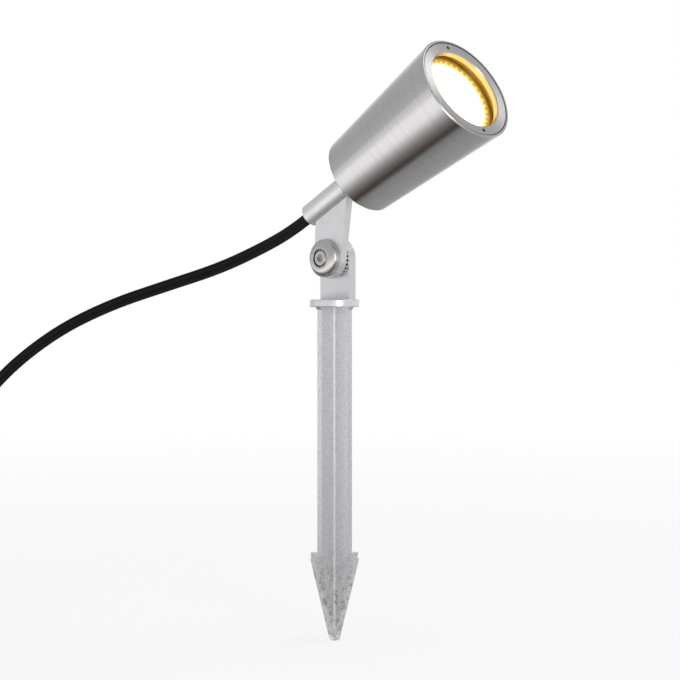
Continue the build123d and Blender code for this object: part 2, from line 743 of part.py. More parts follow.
shoulder = cup_floor - LAMP_CUP_FLOOR
with BuildPart() as heat_sink_fin:
    with BuildSketch(head_side):
        with BuildLine():
            Polyline(
                (neck_front + FIN_SETBACK, LAMP_NECK_RADIUS),
                (neck_front + FIN_SETBACK, LAMP_CORE_RADIUS - LAMP_SHOULDER),
                (shoulder, LAMP_RADIUS - LAMP_SHOULDER),
                (shoulder + LAMP_CUP_FLOOR / 2, LAMP_RADIUS - LAMP_SHOULDER),
                (shoulder + LAMP_CUP_FLOOR / 2, LAMP_NECK_RADIUS),
                close=True,
            )
        make_face()
    extrude(amount=FIN_THICKNESS / 2, both=True)

with BuildPart() as lamp_heat_sink:
    turn(
        [
            (neck_front, 0),
            (neck_front, LAMP_NECK_RADIUS + LAMP_SHOULDER),
            (shoulder, LAMP_CORE_RADIUS),
            (shoulder, LAMP_RADIUS - LAMP_SHOULDER),
            (lamp_face - LAMP_RIM_LENGTH, LAMP_RADIUS),
            (lamp_face, LAMP_RADIUS),
            (lamp_face, LAMP_CUP_RADIUS),
            (cup_floor, LAMP_CUP_RADIUS),
            (cup_floor, 0),
        ]
    )
    for index in range(FIN_COUNT):
        add(heat_sink_fin.part.rotate(head_axis, index * 360 / FIN_COUNT))
write(lamp_heat_sink.part, "lamp_heat_sink")

with BuildPart() as led_board:
    with BuildSketch(across_head(cup_floor)):
        Circle(LED_BOARD_RADIUS)
    extrude(amount=LED_BOARD_THICKNESS)
write(led_board.part, "led_board")

with BuildPart() as led_chips:
    with BuildSketch(across_head(cup_floor + LED_BOARD_THICKNESS)):
        with Locations((0, 0)):
            Rectangle(LED_SIZE, LED_SIZE)
        with PolarLocations(LED_RING_RADIUS, LED_COUNT - 1):
            Rectangle(LED_SIZE, LED_SIZE)
    extrude(amount=LED_HEIGHT)
write(led_chips.part, "led_chips")

lens_face = lamp_face - LENS_SINK
lens_back = lens_face - LENS_THICKNESS
with BuildPart() as lamp_lens:
    with BuildSketch(across_head(lens_back)):
        Circle(LENS_RADIUS)
    extrude(amount=LENS_THICKNESS)
write(lamp_lens.part, "lamp_lens")

with BuildPart() as lens_retainer:
    turn(
        [
            (cup_floor, LAMP_CUP_RADIUS - LAMP_FIT),
            (cup_floor, LENS_RADIUS - RETAINER_LEDGE),
            (lens_back, LENS_RADIUS - RETAINER_LEDGE),
            (lens_back, LENS_RADIUS + LAMP_FIT),
            (lens_face, LENS_RADIUS + LAMP_FIT),
            (lens_face, LENS_RADIUS - RETAINER_LEDGE),
            (lamp_face, LENS_RADIUS - RETAINER_LEDGE + LENS_SINK),
            (lamp_face, LAMP_CUP_RADIUS - LAMP_FIT),
        ]
    )
    with BuildSketch(across_head(lamp_face)):
        with PolarLocations(LENS_RADIUS - RETAINER_LEDGE, RETAINER_NOTCHES):
            Rectangle(2 * RETAINER_LEDGE, RETAINER_NOTCH_WIDTH)
    extrude(amount=-LENS_SINK, mode=Mode.SUBTRACT)
write(lens_retainer.part, "lens_retainer")

# ======== Lamp socket and bracket ========
with BuildPart() as lamp_socket:
    with BuildSketch(across_head(socket_back)):
        RectangleRounded(SOCKET_WIDTH, SOCKET_HEIGHT, SOCKET_CORNER)
    extrude(amount=SOCKET_DEPTH)
    with BuildSketch(across_head(lamp_rear)):
        with GridLocations(0, PIN_SPACING, 1, 2):
            Circle(CONTACT_RADIUS)
    extrude(amount=-CONTACT_LENGTH, mode=Mode.SUBTRACT)
    with BuildSketch(across_head(socket_back)):
        with GridLocations(0, PIN_SPACING, 1, 2):
            Circle(LEAD_RADIUS)
    extrude(amount=SOCKET_DEPTH - CONTACT_LENGTH, mode=Mode.SUBTRACT)
    with BuildSketch(across_head(socket_back)):
        with GridLocations(2 * SOCKET_SCREW_REACH, 0, 2, 1):
            Circle(SOCKET_SCREW_RADIUS)
    extrude(amount=SOCKET_SCREW_GRIP, mode=Mode.SUBTRACT)
write(lamp_socket.part, "lamp_socket")

with BuildPart() as socket_contacts:
    with BuildSketch(across_head(lamp_rear - CONTACT_LENGTH)):
        with GridLocations(0, PIN_SPACING, 1, 2):
            Circle(CONTACT_RADIUS)
            Circle(CONTACT_RADIUS - CONTACT_WALL, mode=Mode.SUBTRACT)
    extrude(amount=CONTACT_LENGTH)
write(socket_contacts.part, "socket_contacts")

with BuildPart() as socket_bracket:
    leg_length = bracket_back - CAP_FLOOR
    with BuildSketch(across_head(bracket_back)):
        Rectangle(BRACKET_SPAN, BRACKET_WIDTH)
        Rectangle(BRACKET_WINDOW_WIDTH, BRACKET_WINDOW_HEIGHT, mode=Mode.SUBTRACT)
        with GridLocations(2 * SOCKET_SCREW_REACH, 0, 2, 1):
            Circle(SOCKET_SCREW_RADIUS + SCREW_HOLE_CLEARANCE, mode=Mode.SUBTRACT)
    extrude(amount=BRACKET_THICKNESS)
    with BuildSketch(across_head(CAP_FLOOR)):
        with GridLocations(BRACKET_SPAN - BRACKET_THICKNESS, 0, 2, 1):
            Rectangle(BRACKET_THICKNESS, BRACKET_WIDTH)
    extrude(amount=leg_length)
    with BuildSketch(across_head(CAP_FLOOR)):
        with GridLocations(BRACKET_SPAN + BRACKET_FOOT, 0, 2, 1):
            Rectangle(BRACKET_FOOT, BRACKET_WIDTH)
        with GridLocations(2 * BRACKET_SCREW_REACH, 0, 2, 1):
            Circle(BRACKET_SCREW_RADIUS + SCREW_HOLE_CLEARANCE, mode=Mode.SUBTRACT)
    extrude(amount=BRACKET_THICKNESS)
write(socket_bracket.part, "socket_bracket")

with BuildPart() as bracket_screws:
    screw_seat = CAP_FLOOR + BRACKET_THICKNESS
    with BuildSketch(across_head(screw_seat)):
        with GridLocations(2 * BRACKET_SCREW_REACH, 0, 2, 1):
            Circle(BRACKET_SCREW_HEAD_RADIUS)
    extrude(amount=BRACKET_SCREW_HEAD_HEIGHT)
    with BuildSketch(across_head(screw_seat)):
        with GridLocations(2 * BRACKET_SCREW_REACH, 0, 2, 1):
            Circle(BRACKET_SCREW_RADIUS)
    extrude(amount=-BRACKET_THICKNESS - BRACKET_SCREW_GRIP)
write(bracket_screws.part, "bracket_screws")

with BuildPart() as socket_screws:
    with BuildSketch(across_head(bracket_back)):
        with GridLocations(2 * SOCKET_SCREW_REACH, 0, 2, 1):
            Circle(SOCKET_SCREW_HEAD_RADIUS)
    extrude(amount=-SOCKET_SCREW_HEAD_HEIGHT)
    with BuildSketch(across_head(bracket_back)):
        with GridLocations(2 * SOCKET_SCREW_REACH, 0, 2, 1):
            Circle(SOCKET_SCREW_RADIUS)
    extrude(amount=BRACKET_THICKNESS + SOCKET_SCREW_GRIP)
write(socket_screws.part, "socket_screws")

# ======== Cord outside the head ========
floor_level = -SPIKE_DEPTH
layer_height = COIL_PITCH
low_layer = floor_level + TIE_THICKNESS + TIE_CLEARANCE + CORD_WIDTH / 2
high_layer = low_layer + layer_height


def coil_state(quarter):
    """Centre-line point and unit direction of the coil after some quarter turns."""
    half = COIL_QUARTERS / 2
    angle = radians(COIL_START_ANGLE - 90 * quarter)
    inward = quarter if quarter < half else COIL_QUARTERS - quarter
    radius = COIL_RADIUS - COIL_PITCH * inward / 4
    radial_rate = COIL_PITCH / 4 * (-1 if quarter < half else 1)
    if abs(quarter - half) < 1e-9:
        radial_rate = 0
    share = min(max((quarter - half + 1) / 2, 0), 1)
    height = high_layer - layer_height * (1 - cos(pi * share)) / 2
    rise_rate = -layer_height * pi * sin(pi * share) / 4
    turn_rate = -pi / 2
    point = Vector(
        COIL_CENTRE[0] + radius * cos(angle),
        COIL_CENTRE[1] + radius * sin(angle),
        height,
    )
    direction = Vector(
        radial_rate * cos(angle) - radius * turn_rate * sin(angle),
        radial_rate * sin(angle) + radius * turn_rate * cos(angle),
        rise_rate,
    )
    return point, direction.normalized()


def biarc(start, start_direction, end, end_direction):
    """Two arcs that join two points with the given directions."""
    chord = end - start
    both = start_direction + end_direction
    spread = 2 * (1 - start_direction.dot(end_direction))
    along = chord.dot(both)
    reach = (sqrt(along**2 + spread * chord.dot(chord)) - along) / spread
    first = start + start_direction * reach
    second = end - end_direction * reach
    middle = (first + second) / 2
    TangentArc(start, middle, tangent=start_direction)
    TangentArc(middle, end, tangent=(second - first).normalized())


coil_start, coil_entry = coil_state(0)
coil_end, coil_exit = coil_state(COIL_QUARTERS)
coil_lead = coil_start - coil_entry * CORD_WIDTH
coil_tail = coil_end + coil_exit * CORD_WIDTH
# The reversal lies half way through a quarter turn, so the steps on both sides of it are halves.
coil_steps = sorted(set(range(COIL_QUARTERS + 1)) | {COIL_QUARTERS / 2})

with BuildPart() as cord_coil:
    with BuildLine() as coil_path:
        Line(coil_lead, coil_start)
        for first_quarter, next_quarter in zip(coil_steps, coil_steps[1:]):
            biarc(*coil_state(first_quarter), *coil_state(next_quarter))
        Line(coil_end, coil_tail)
    with BuildSketch(Plane(origin=coil_lead, z_dir=coil_entry)):
        Circle(CORD_WIDTH / 2)
    sweep(path=coil_path.wire())
write(cord_coil.part, "cord_coil")


def least_gap(path, turn_length):
    """Least distance between turns of a wound path, less the cord's own diameter."""
    count = int(path.length / 2)
    points = [path.position_at(step / count) for step in range(count + 1)]
    skip = int(turn_length / 3 / 2)
    least = min(
        (one - other).length for at, one in enumerate(points) for other in points[at + skip :]
    )
    return least - CORD_WIDTH


inner_turn = 2 * pi * (COIL_RADIUS - COIL_PITCH * COIL_QUARTERS / 8)
coil_gap = least_gap(coil_path.wire(), inner_turn)
print(f"coil: {coil_path.wire().length:.1f} mm of cord, least gap {coil_gap:.2f} mm")
assert coil_gap > COIL_GAP


def bend_radii(points):
    """Radius of the arc at each inner point: 0.45 of the shorter run, by half the turn."""
    runs = [after - before for before, after in zip(points, points[1:])]
    radii = []
    for before, after in zip(runs, runs[1:]):
        half_turn = radians(before.get_angle(after)) / 2
        radii.append(0.45 * min(before.length, after.length) / tan(half_turn))
    return radii


def cord_tube(points, name):
    """Tube along straight runs joined by tangent arcs."""
    radii = bend_radii(points)
    print(f"{name}: bend radii", [round(radius) for radius in radii])
    with BuildPart() as tube:
        with BuildLine() as path:
            FilletPolyline(*points, radius=radii)
        with BuildSketch(Plane(origin=points[0], z_dir=points[1] - points[0])):
            Circle(CORD_WIDTH / 2)
        sweep(path=path.wire())
    length = path.wire().length
    share = tube.part.volume / (pi * CORD_WIDTH**2 / 4 * length)
    print(f"{name}: {length:.1f} mm, volume {share:.4f} of section x length")
    write(tube.part, name)


route_start = in_head(stub_end, 0, 0)
first_bend = route_start - head_direction * CORD_FIRST_RUN
last_bend = coil_lead - coil_entry * CORD_LAST_RUN
route = [Vector(*point) for point in CORD_ROUTE]
cord_tube([route_start, first_bend] + route + [last_bend, coil_lead], "cord_free")

plug_height = floor_level + PLUG_NUT_RADIUS
tail_rise = Vector(0, 0, plug_height - coil_tail.Z)
tail_foot = coil_tail + coil_exit * TAIL_STRAIGHT
tail_top = tail_foot + coil_exit * TAIL_SLOPE + tail_rise
plug_rear = tail_top + coil_exit * TAIL_STRAIGHT
cord_tube([coil_tail, tail_foot, tail_top, plug_rear], "cord_tail")

with BuildPart() as cord_tie:
    # The band closes round two turns in each layer.
    tie_angle = radians(TIE_ANGLE)
    tie_quarters = (COIL_START_ANGLE + 360 - TIE_ANGLE) / 90
    outer_turn = COIL_RADIUS - COIL_PITCH * tie_quarters / 4
    tie_radius = outer_turn - COIL_PITCH / 2
    outward = Vector(cos(tie_angle), sin(tie_angle), 0)
    tie_centre = Vector(*COIL_CENTRE, (low_layer + high_layer) / 2) + outward * tie_radius
    opening = COIL_PITCH + CORD_WIDTH + 2 * TIE_CLEARANCE
    corner = CORD_WIDTH / 2
    with BuildSketch(Plane(origin=tie_centre, x_dir=outward, z_dir=outward.cross(Vector(0, 0, 1)))):
        RectangleRounded(opening + 2 * TIE_THICKNESS, opening + 2 * TIE_THICKNESS, corner + TIE_THICKNESS)
        RectangleRounded(opening, opening, corner, mode=Mode.SUBTRACT)
    extrude(amount=TIE_WIDTH / 2, both=True)
write(cord_tie.part, "cord_tie")

# ======== Plug ========
plug_side = Plane(origin=plug_rear, x_dir=coil_exit, z_dir=(0, 0, 1))
plug_axis = Axis(plug_rear, coil_exit)
nut_rear = RELIEF_LENGTH
nut_front = nut_rear + PLUG_NUT_LENGTH
nose_front = nut_front + PLUG_NOSE_LENGTH
flange_rear = nut_rear + PLUG_NUT_BACK + PLUG_CLEARANCE
flange_front = flange_rear + PLUG_FLANGE_LENGTH


def across_plug(station):
    """Plane square to the plug's axis, some way ahead of the strain relief's end."""
    return Plane(
        origin=plug_rear + coil_exit * station,
        x_dir=coil_exit.cross(Vector(0, 0, 1)),
        z_dir=coil_exit,
    )


with BuildPart() as plug_strain_relief:
    turn(
        [(0, 0), (0, RELIEF_REAR_RADIUS), (RELIEF_LENGTH, RELIEF_FRONT_RADIUS), (RELIEF_LENGTH, 0)],
        side=plug_side,
        axis=plug_axis,
    )
    slot_pitch = RELIEF_LENGTH / (RELIEF_SLOTS + 1)
    for index in range(RELIEF_SLOTS):
        with BuildSketch(across_plug(slot_pitch * (index + 1) - RELIEF_SLOT_LENGTH / 2)):
            Circle(RELIEF_FRONT_RADIUS + RELIEF_SLOT_DEPTH)
            Circle(RELIEF_REAR_RADIUS - RELIEF_SLOT_DEPTH, mode=Mode.SUBTRACT)
            Rectangle(4 * RELIEF_FRONT_RADIUS, RELIEF_BRIDGE, mode=Mode.SUBTRACT)
            Rectangle(RELIEF_BRIDGE, 4 * RELIEF_FRONT_RADIUS, mode=Mode.SUBTRACT)
        extrude(amount=RELIEF_SLOT_LENGTH, mode=Mode.SUBTRACT)
write(plug_strain_relief.part, "plug_strain_relief")

with BuildPart() as plug_body:
    turn(
        [
            (nut_rear, 0),
            (nut_rear, PLUG_BARREL_RADIUS),
            (flange_rear, PLUG_BARREL_RADIUS),
            (flange_rear, PLUG_FLANGE_RADIUS),
            (flange_front, PLUG_FLANGE_RADIUS),
            (flange_front, PLUG_NOSE_RADIUS),
            (nose_front, PLUG_NOSE_RADIUS),
            (nose_front, 0),
        ],
        side=plug_side,
        axis=plug_axis,
    )
    with BuildSketch(across_plug(nose_front)):
        with GridLocations(0, PLUG_PIN_SPACING, 1, 2):
            Circle(PLUG_PIN_ROOT_RADIUS)
    extrude(amount=-PLUG_PIN_SEAT, mode=Mode.SUBTRACT)
write(plug_body.part, "plug_body")

with BuildPart() as plug_pins:
    with BuildSketch(across_plug(nose_front)):
        with GridLocations(0, PLUG_PIN_SPACING, 1, 2):
            Circle(PLUG_PIN_ROOT_RADIUS)
    extrude(amount=-PLUG_PIN_SEAT)
    with BuildSketch(across_plug(nose_front)):
        with GridLocations(0, PLUG_PIN_SPACING, 1, 2):
            Circle(PLUG_PIN_RADIUS)
    extrude(amount=PLUG_PIN_LENGTH)
    pin_tips = faces().filter_by(GeomType.PLANE).sort_by(Axis(plug_rear, coil_exit))[-2:]
    chamfer(pin_tips.edges(), PLUG_PIN_CHAMFER)
write(plug_pins.part, "plug_pins")

with BuildPart() as plug_nut:
    nut_bore = PLUG_NUT_RADIUS - PLUG_NUT_WALL
    turn(
        [
            (nut_rear, PLUG_BARREL_RADIUS + PLUG_CLEARANCE),
            (nut_rear, PLUG_NUT_RADIUS - PLUG_NUT_CHAMFER),
            (nut_rear + PLUG_NUT_CHAMFER, PLUG_NUT_RADIUS),
            (nut_front - PLUG_NUT_CHAMFER, PLUG_NUT_RADIUS),
            (nut_front, PLUG_NUT_RADIUS - PLUG_NUT_CHAMFER / 2),
            (nut_front, nut_bore),
            (nut_rear + PLUG_NUT_BACK, nut_bore),
            (nut_rear + PLUG_NUT_BACK, PLUG_BARREL_RADIUS + PLUG_CLEARANCE),
        ],
        side=plug_side,
        axis=plug_axis,
    )
    groove_reach = PLUG_NUT_RADIUS + PLUG_NUT_GROOVE_RADIUS - PLUG_NUT_GROOVE_DEPTH
    with BuildSketch(across_plug(nut_rear)):
        with PolarLocations(groove_reach, PLUG_NUT_RIBS):
            Circle(PLUG_NUT_GROOVE_RADIUS)
    extrude(amount=PLUG_NUT_LENGTH, mode=Mode.SUBTRACT)
write(plug_nut.part, "plug_nut")

with BuildPart() as plug_seal:
    seal_place = Vector(flange_front + PLUG_SEAL_RADIUS, PLUG_NOSE_RADIUS + PLUG_SEAL_RADIUS, 0)
    seal_origin = plug_side.from_local_coords(seal_place)
    with BuildSketch(Plane(origin=seal_origin, x_dir=coil_exit, z_dir=(0, 0, 1))):
        Circle(PLUG_SEAL_RADIUS)
    revolve(axis=plug_axis)
write(plug_seal.part, "plug_seal")
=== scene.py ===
# %% [markdown]
# # A garden spotlight on a ground spike
# A cone-shaped aluminium lamp head tilts in a knuckle on top of a cast spike that is
# pushed into the soil. A flat black cord leaves the back of the head and ends in a
# two-pin plug. Most parts come ready-made from the CAD model, so this lesson is mostly
# about finishes, light and the one thing that CAD leaves plain: the cord.

# %% Load the solid model
import math

import bmesh
import bpy
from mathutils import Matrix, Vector


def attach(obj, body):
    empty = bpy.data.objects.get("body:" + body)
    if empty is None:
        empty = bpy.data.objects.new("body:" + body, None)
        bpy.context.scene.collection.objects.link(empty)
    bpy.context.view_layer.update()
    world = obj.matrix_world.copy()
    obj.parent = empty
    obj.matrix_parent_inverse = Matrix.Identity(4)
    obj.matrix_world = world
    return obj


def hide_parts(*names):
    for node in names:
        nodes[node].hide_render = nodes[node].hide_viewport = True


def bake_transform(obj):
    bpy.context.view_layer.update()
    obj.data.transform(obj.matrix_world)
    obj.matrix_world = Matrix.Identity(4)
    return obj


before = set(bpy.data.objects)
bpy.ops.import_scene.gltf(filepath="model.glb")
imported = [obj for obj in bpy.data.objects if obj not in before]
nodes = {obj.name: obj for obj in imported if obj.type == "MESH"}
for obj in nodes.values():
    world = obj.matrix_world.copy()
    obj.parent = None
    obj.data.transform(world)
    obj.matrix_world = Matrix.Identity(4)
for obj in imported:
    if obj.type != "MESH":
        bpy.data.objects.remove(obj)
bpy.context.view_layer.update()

# %% [markdown]
# ## The camera
# The picture was taken from the front right of the lamp, just above the line of the
# soil, with a long lens that looks straight ahead, so upright lines stay upright. A
# level camera that is moved a little with its shift keeps them so, where a tilted one
# would make them lean.

# %% Set up the camera
view_turn = math.radians(44.5)
view_distance = 1.0
eye_level = 0.0022
picture_pixels = 680
pixels_right = 5.5
pixels_up = -37
camera_lens = bpy.data.cameras.new("camera")
camera_lens.sensor_width = 36
camera_lens.lens = 96.26
camera_lens.shift_x = pixels_right / picture_pixels
camera_lens.shift_y = pixels_up / picture_pixels
camera_lens.clip_start = 0.01
camera = bpy.data.objects.new("camera", camera_lens)
bpy.context.scene.collection.objects.link(camera)
camera.location = (
    view_distance * math.sin(view_turn),
    -view_distance * math.cos(view_turn),
    eye_level,
)
camera.rotation_euler = (math.radians(90), 0, view_turn)
bpy.context.scene.camera = camera
bpy.context.scene.view_settings.view_transform = "Standard"
print("camera at", [round(value, 3) for value in camera.location])

# %% [markdown]
# ## The line of the cord
# A cord is a fixed length of something bendy. It leaves the stub straight, sags under its
# own weight to the ground and lies there. The length that isn't used is wound up in a
# round coil with a tie, and the plug lies beside it. One NURBS spline can draw all of
# that: the curve is pulled towards each point without a corner, as a cord is.
# The points are in metres, on the route of the solid model.

# %% Points from the stub to the ground
stub_mouth = Vector((-0.014353, -0.00435, 0.05021))
free_points = [
    stub_mouth,
    (-0.028401, -0.00435, 0.042551),
    (-0.052, -0.0065, 0.0329),
    (-0.08, -0.013, 0.0221),
    (-0.112, -0.025, 0.0124),
    (-0.146, -0.041, 0.001),
    (-0.178, -0.0585, -0.016),
    (-0.207, -0.0775, -0.043),
    (-0.228, -0.094, -0.079),
    (-0.2425, -0.1044, -0.1122),
    (-0.2549, -0.111, -0.1396),
    (-0.2652, -0.1146, -0.1555),
    (-0.2782, -0.1166, -0.166),
    (-0.294708, -0.117601, -0.17135),
    (-0.311202, -0.117176, -0.17135),
]
print("points in the hanging part:", len(free_points))

# %% [markdown]
# The coil has four and a quarter turns. They shrink towards the middle by a little more
# than one cord width a turn, then step down a layer and grow again, as a cord does when
# it is wound by hand. Sixteen points a turn keep it round, each a little outside the turn
# because the spline cuts inside its points.

# %% Points of the coil
coil_centre = Vector((-0.318, -0.072, 0))
coil_radius = 0.045
coil_pitch = 0.0073
coil_quarters = 17
middle_quarter = 8.5
step_quarters = 2
upper_layer = -0.17135
lower_layer = -0.17865
points_a_quarter = 4
half_step = math.radians(90) / points_a_quarter / 2


def coil_point(quarter):
    """The place of a point of the coil after so many quarter turns."""
    inward = quarter if quarter < middle_quarter else coil_quarters - quarter
    radius = (coil_radius - coil_pitch * inward / 4) / math.cos(half_step)
    step_start = middle_quarter - step_quarters / 2
    share = min(max((quarter - step_start) / step_quarters, 0), 1)
    ease = (1 - math.cos(math.pi * share)) / 2
    height = upper_layer + (lower_layer - upper_layer) * ease
    angle = math.radians(-90 - 90 * quarter)
    flat = Vector((radius * math.cos(angle), radius * math.sin(angle), height))
    return coil_centre + flat


coil_points = [
    coil_point((index + 0.5) / points_a_quarter)
    for index in range(coil_quarters * points_a_quarter)
]
print("points in the coil:", len(coil_points))

# %% [markdown]
# The spline's order is 3, which gives smooth arcs that touch each run between two points.
# It is set after the points are there, because an empty spline can't hold it. Blender
# turns a curve without a bevel into a plain line of vertices, and those are the centre
# line that the cord's skin follows.

# %% Draw the spline and read its centre line
tail_points = [
    (-0.363176, -0.065202, -0.17865),
    (-0.363447, -0.054706, -0.17865),
    (-0.363989, -0.033713, -0.17315),
    (-0.36426, -0.023216, -0.17315),
]


def centre_line(name, points, steps):
    """Points along a smooth NURBS line through the pull of these control points."""
    curve = bpy.data.curves.new(name, "CURVE")
    curve.dimensions = "3D"
    curve.resolution_u = steps
    spline = curve.splines.new("NURBS")
    spline.points.add(len(points) - 1)
    for control, point in zip(spline.points, points):
        control.co = (*point, 1)
    spline.use_endpoint_u = True
    spline.order_u = 3
    holder = bpy.data.objects.new(name, curve)
    bpy.context.scene.collection.objects.link(holder)
    line = bpy.data.meshes.new_from_object(holder)
    places = [vertex.co.copy() for vertex in line.vertices]
    bpy.data.objects.remove(holder)
    return places


control_points = [*free_points, *coil_points, *tail_points]
steps_between_points = 8
cord_line = centre_line("cord_line", control_points, steps_between_points)
cord_length = sum((b - a).length for a, b in zip(cord_line, cord_line[1:]))
print("centre line:", len(cord_line), "points,", round(cord_length, 4), "m")

# %% [markdown]
# ## The skin of the cord
# Low-voltage garden cord is a flat twin: two round insulated wires moulded side by side
# with a thin web between them. Its outline is therefore a lying figure of eight, 6.8 mm
# by 3.4 mm. It bends easily over its flat side only, so the wide way stays upright here:
# it follows the stub's height and stands on edge in the coil. A small ridge along the
# lower wire tells the two wires apart, and it catches the light as a thin line.

# %% Outline of the flat twin cord
wire_radius = 0.0017
web_half = 0.00155
valley = math.pi - math.asin(web_half / wire_radius)
arc_steps = 13
ridge_height = 0.00025
ridge_angles = [math.radians(degrees) for degrees in (40, 46, 54, 60)]


def twin_outline():
    """The outline as (across the width, through the thickness), once round."""
    outline = []
    for side in (1, -1):
        angles = [valley * (2 * index / arc_steps - 1) for index in range(arc_steps + 1)]
        if side == -1:
            low, high = ridge_angles[0], ridge_angles[-1]
            angles = [a for a in angles if not low < a < high] + ridge_angles
        for angle in sorted(angles):
            on_ridge = side == -1 and angle in ridge_angles[1:3]
            reach = wire_radius + (ridge_height if on_ridge else 0)
            across = side * (wire_radius + reach * math.cos(angle))
            outline.append((across, side * reach * math.sin(angle)))
    return outline


cord_outline = twin_outline()
print("outline points:", len(cord_outline))

# %% [markdown]
# The skin is made ring by ring: at each point of the line the outline is set square to
# the cord's direction, and faces join each ring to the next. A bevel on the curve would
# do it in one step, but it turns the outline as the cord bends, and here the wide way
# has to stay upright.

# %% Sweep the outline along a line
upright = Vector((0, 0, 1))


def join_rings(mesh, ring, following):
    """Faces between two rings of points."""
    for index in range(len(ring)):
        turn = (index + 1) % len(ring)
        mesh.faces.new((ring[index], ring[turn], following[turn], following[index]))


def add_piece(name, mesh):
    """An object in the scene that holds this mesh."""
    data = bpy.data.meshes.new(name)
    mesh.to_mesh(data)
    mesh.free()
    piece = bpy.data.objects.new(name, data)
    bpy.context.scene.collection.objects.link(piece)
    return piece


def sweep(name, line, outline):
    """A closed skin that follows the line with its wide way as upright as it can be."""
    mesh = bmesh.new()
    rings = []
    for index, place in enumerate(line):
        before = line[max(index - 1, 0)]
        after = line[min(index + 1, len(line) - 1)]
        along = (after - before).normalized()
        wide = (upright - along * upright.dot(along)).normalized()
        thin = along.cross(wide)
        rings.append([mesh.verts.new(place + wide * a + thin * b) for a, b in outline])
    for ring, following in zip(rings, rings[1:]):
        join_rings(mesh, ring, following)
    mesh.faces.new(reversed(rings[0]))
    mesh.faces.new(rings[-1])
    bmesh.ops.recalc_face_normals(mesh, faces=mesh.faces)
    for face in mesh.faces:
        face.smooth = len(face.verts) == 4
    return add_piece(name, mesh)


cord = sweep("flat_twin_cord", cord_line, cord_outline)
print("cord skin:", len(cord.data.polygons), "faces")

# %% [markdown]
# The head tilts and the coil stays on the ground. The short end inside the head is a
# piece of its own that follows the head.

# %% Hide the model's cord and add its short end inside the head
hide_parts("cord_free", "cord_coil", "cord_tail")
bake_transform(cord)

head_axis = Vector((0.877983, 0, 0.478692))
rear_centre = Vector((0.022873, -0.00435, 0.070507))
inner_depth = 0.0114
inner_end = rear_centre + head_axis * inner_depth
inner_cord = sweep("inner_cord", [stub_mouth, inner_end], cord_outline)
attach(inner_cord, "head")
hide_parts("cord_inner")
print("inner cord:", round((inner_end - stub_mouth).length * 1000, 1), "mm")

# %% [markdown]
# ## The domed washer
# The head is clamped by a screw that sits sunk in a domed washer. The dome is turned from
# stainless steel and has a satin polish. Its soft reflections bend round it without a
# step, so any flat facet would show. A lathe makes such a part by turning a profile round
# an axis, and so does this cell: an arc with many short steps, and soft edges where a
# file has broken the corners.

# %% Turn the washer
pivot = Vector((0, 0, 0.0266))
washer_base = -0.00675
washer_top = -0.01155
washer_rim = -0.00755
washer_radius = 0.0105
crown_radius = 0.0056
recess_radius = 0.00505
recess_floor = -0.00795
bore_radius = 0.0026
broken_edge = 0.00012
dome_steps = 20
round_steps = 96
sharp_edge = math.radians(35)


def washer_profile(steps):
    """Radius and place along the pivot, from the bore round the outside and back."""
    profile = [(bore_radius, washer_base), (washer_radius - broken_edge, washer_base)]
    profile.append((washer_radius, washer_base - broken_edge))
    for index in range(steps + 1):
        angle = math.radians(90) * index / steps
        radius = crown_radius + (washer_radius - crown_radius) * math.cos(angle)
        profile.append((radius, washer_rim + (washer_top - washer_rim) * math.sin(angle)))
    profile.append((recess_radius + broken_edge, washer_top))
    profile.append((recess_radius, washer_top + broken_edge))
    profile += [(recess_radius, recess_floor), (bore_radius, recess_floor)]
    return profile


def lathe(name, profile, turns):
    """A closed piece turned round the pivot, which runs along Y."""
    mesh = bmesh.new()
    rings = []
    for step in range(turns):
        angle = 2 * math.pi * step / turns
        across = Vector((math.cos(angle), 0, math.sin(angle)))
        rings.append(
            [mesh.verts.new(pivot + across * r + Vector((0, y, 0))) for r, y in profile]
        )
    for step in range(turns):
        join_rings(mesh, rings[step], rings[(step + 1) % turns])
    bmesh.ops.recalc_face_normals(mesh, faces=mesh.faces)
    piece = add_piece(name, mesh)
    piece.data.shade_smooth()
    piece.data.set_sharp_from_angle(angle=sharp_edge)
    return piece


washer = lathe("domed_washer", washer_profile(dome_steps), round_steps)
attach(washer, "knuckle_washer")
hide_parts("dome_washer")
print("washer:", len(washer.data.polygons), "faces")

# %% [markdown]
# ## Two small tools for materials
# Colours are easiest to judge as the hex values a paint program shows, which are sRGB.
# Light adds up in linear values, so one function turns the first into the second.
# Another adds a node, sets its values and plugs in its inputs, and that is enough to
# write down any finish as a short list.

# %% Colour and node helpers


def colour(hex_text):
    """Linear RGBA from an sRGB hex value such as #c8c8cb."""
    parts = [int(hex_text[start : start + 2], 16) / 255 for start in (1, 3, 5)]
    linear = [p / 12.92 if p <= 0.04045 else ((p + 0.055) / 1.055) ** 2.4 for p in parts]
    return (*linear, 1)


def add_node(material, kind, settings=None, links=None):
    """Adds a node of this kind with its settings and linked inputs."""
    node = material.node_tree.nodes.new(kind)
    for name, value in (settings or {}).items():
        if isinstance(name, int) or name in node.inputs:
            node.inputs[name].default_value = value
        else:
            setattr(node, name, value)
    for name, output in (links or {}).items():
        material.node_tree.links.new(output, node.inputs[name])
    return node


def new_material(name):
    """An empty node material."""
    material = bpy.data.materials.new(name)
    material.use_nodes = True
    material.node_tree.nodes.clear()
    return material


finishes = {}
print("mid grey #808080 is linear", round(colour("#808080")[0], 3))

# %% [markdown]
# ## Satin cast aluminium
# The spike and the arm behind the head are aluminium castings. The mould leaves a fine
# pebbled skin, which is blasted and clear coated, so it looks soft and light grey with
# no sharp reflections. The eye sees two scales: grains of about half a millimetre, and
# shallow flow marks of about 7 mm that change the colour and the shine a little. Two
# noises do that, one for the bumps and one for the colour.

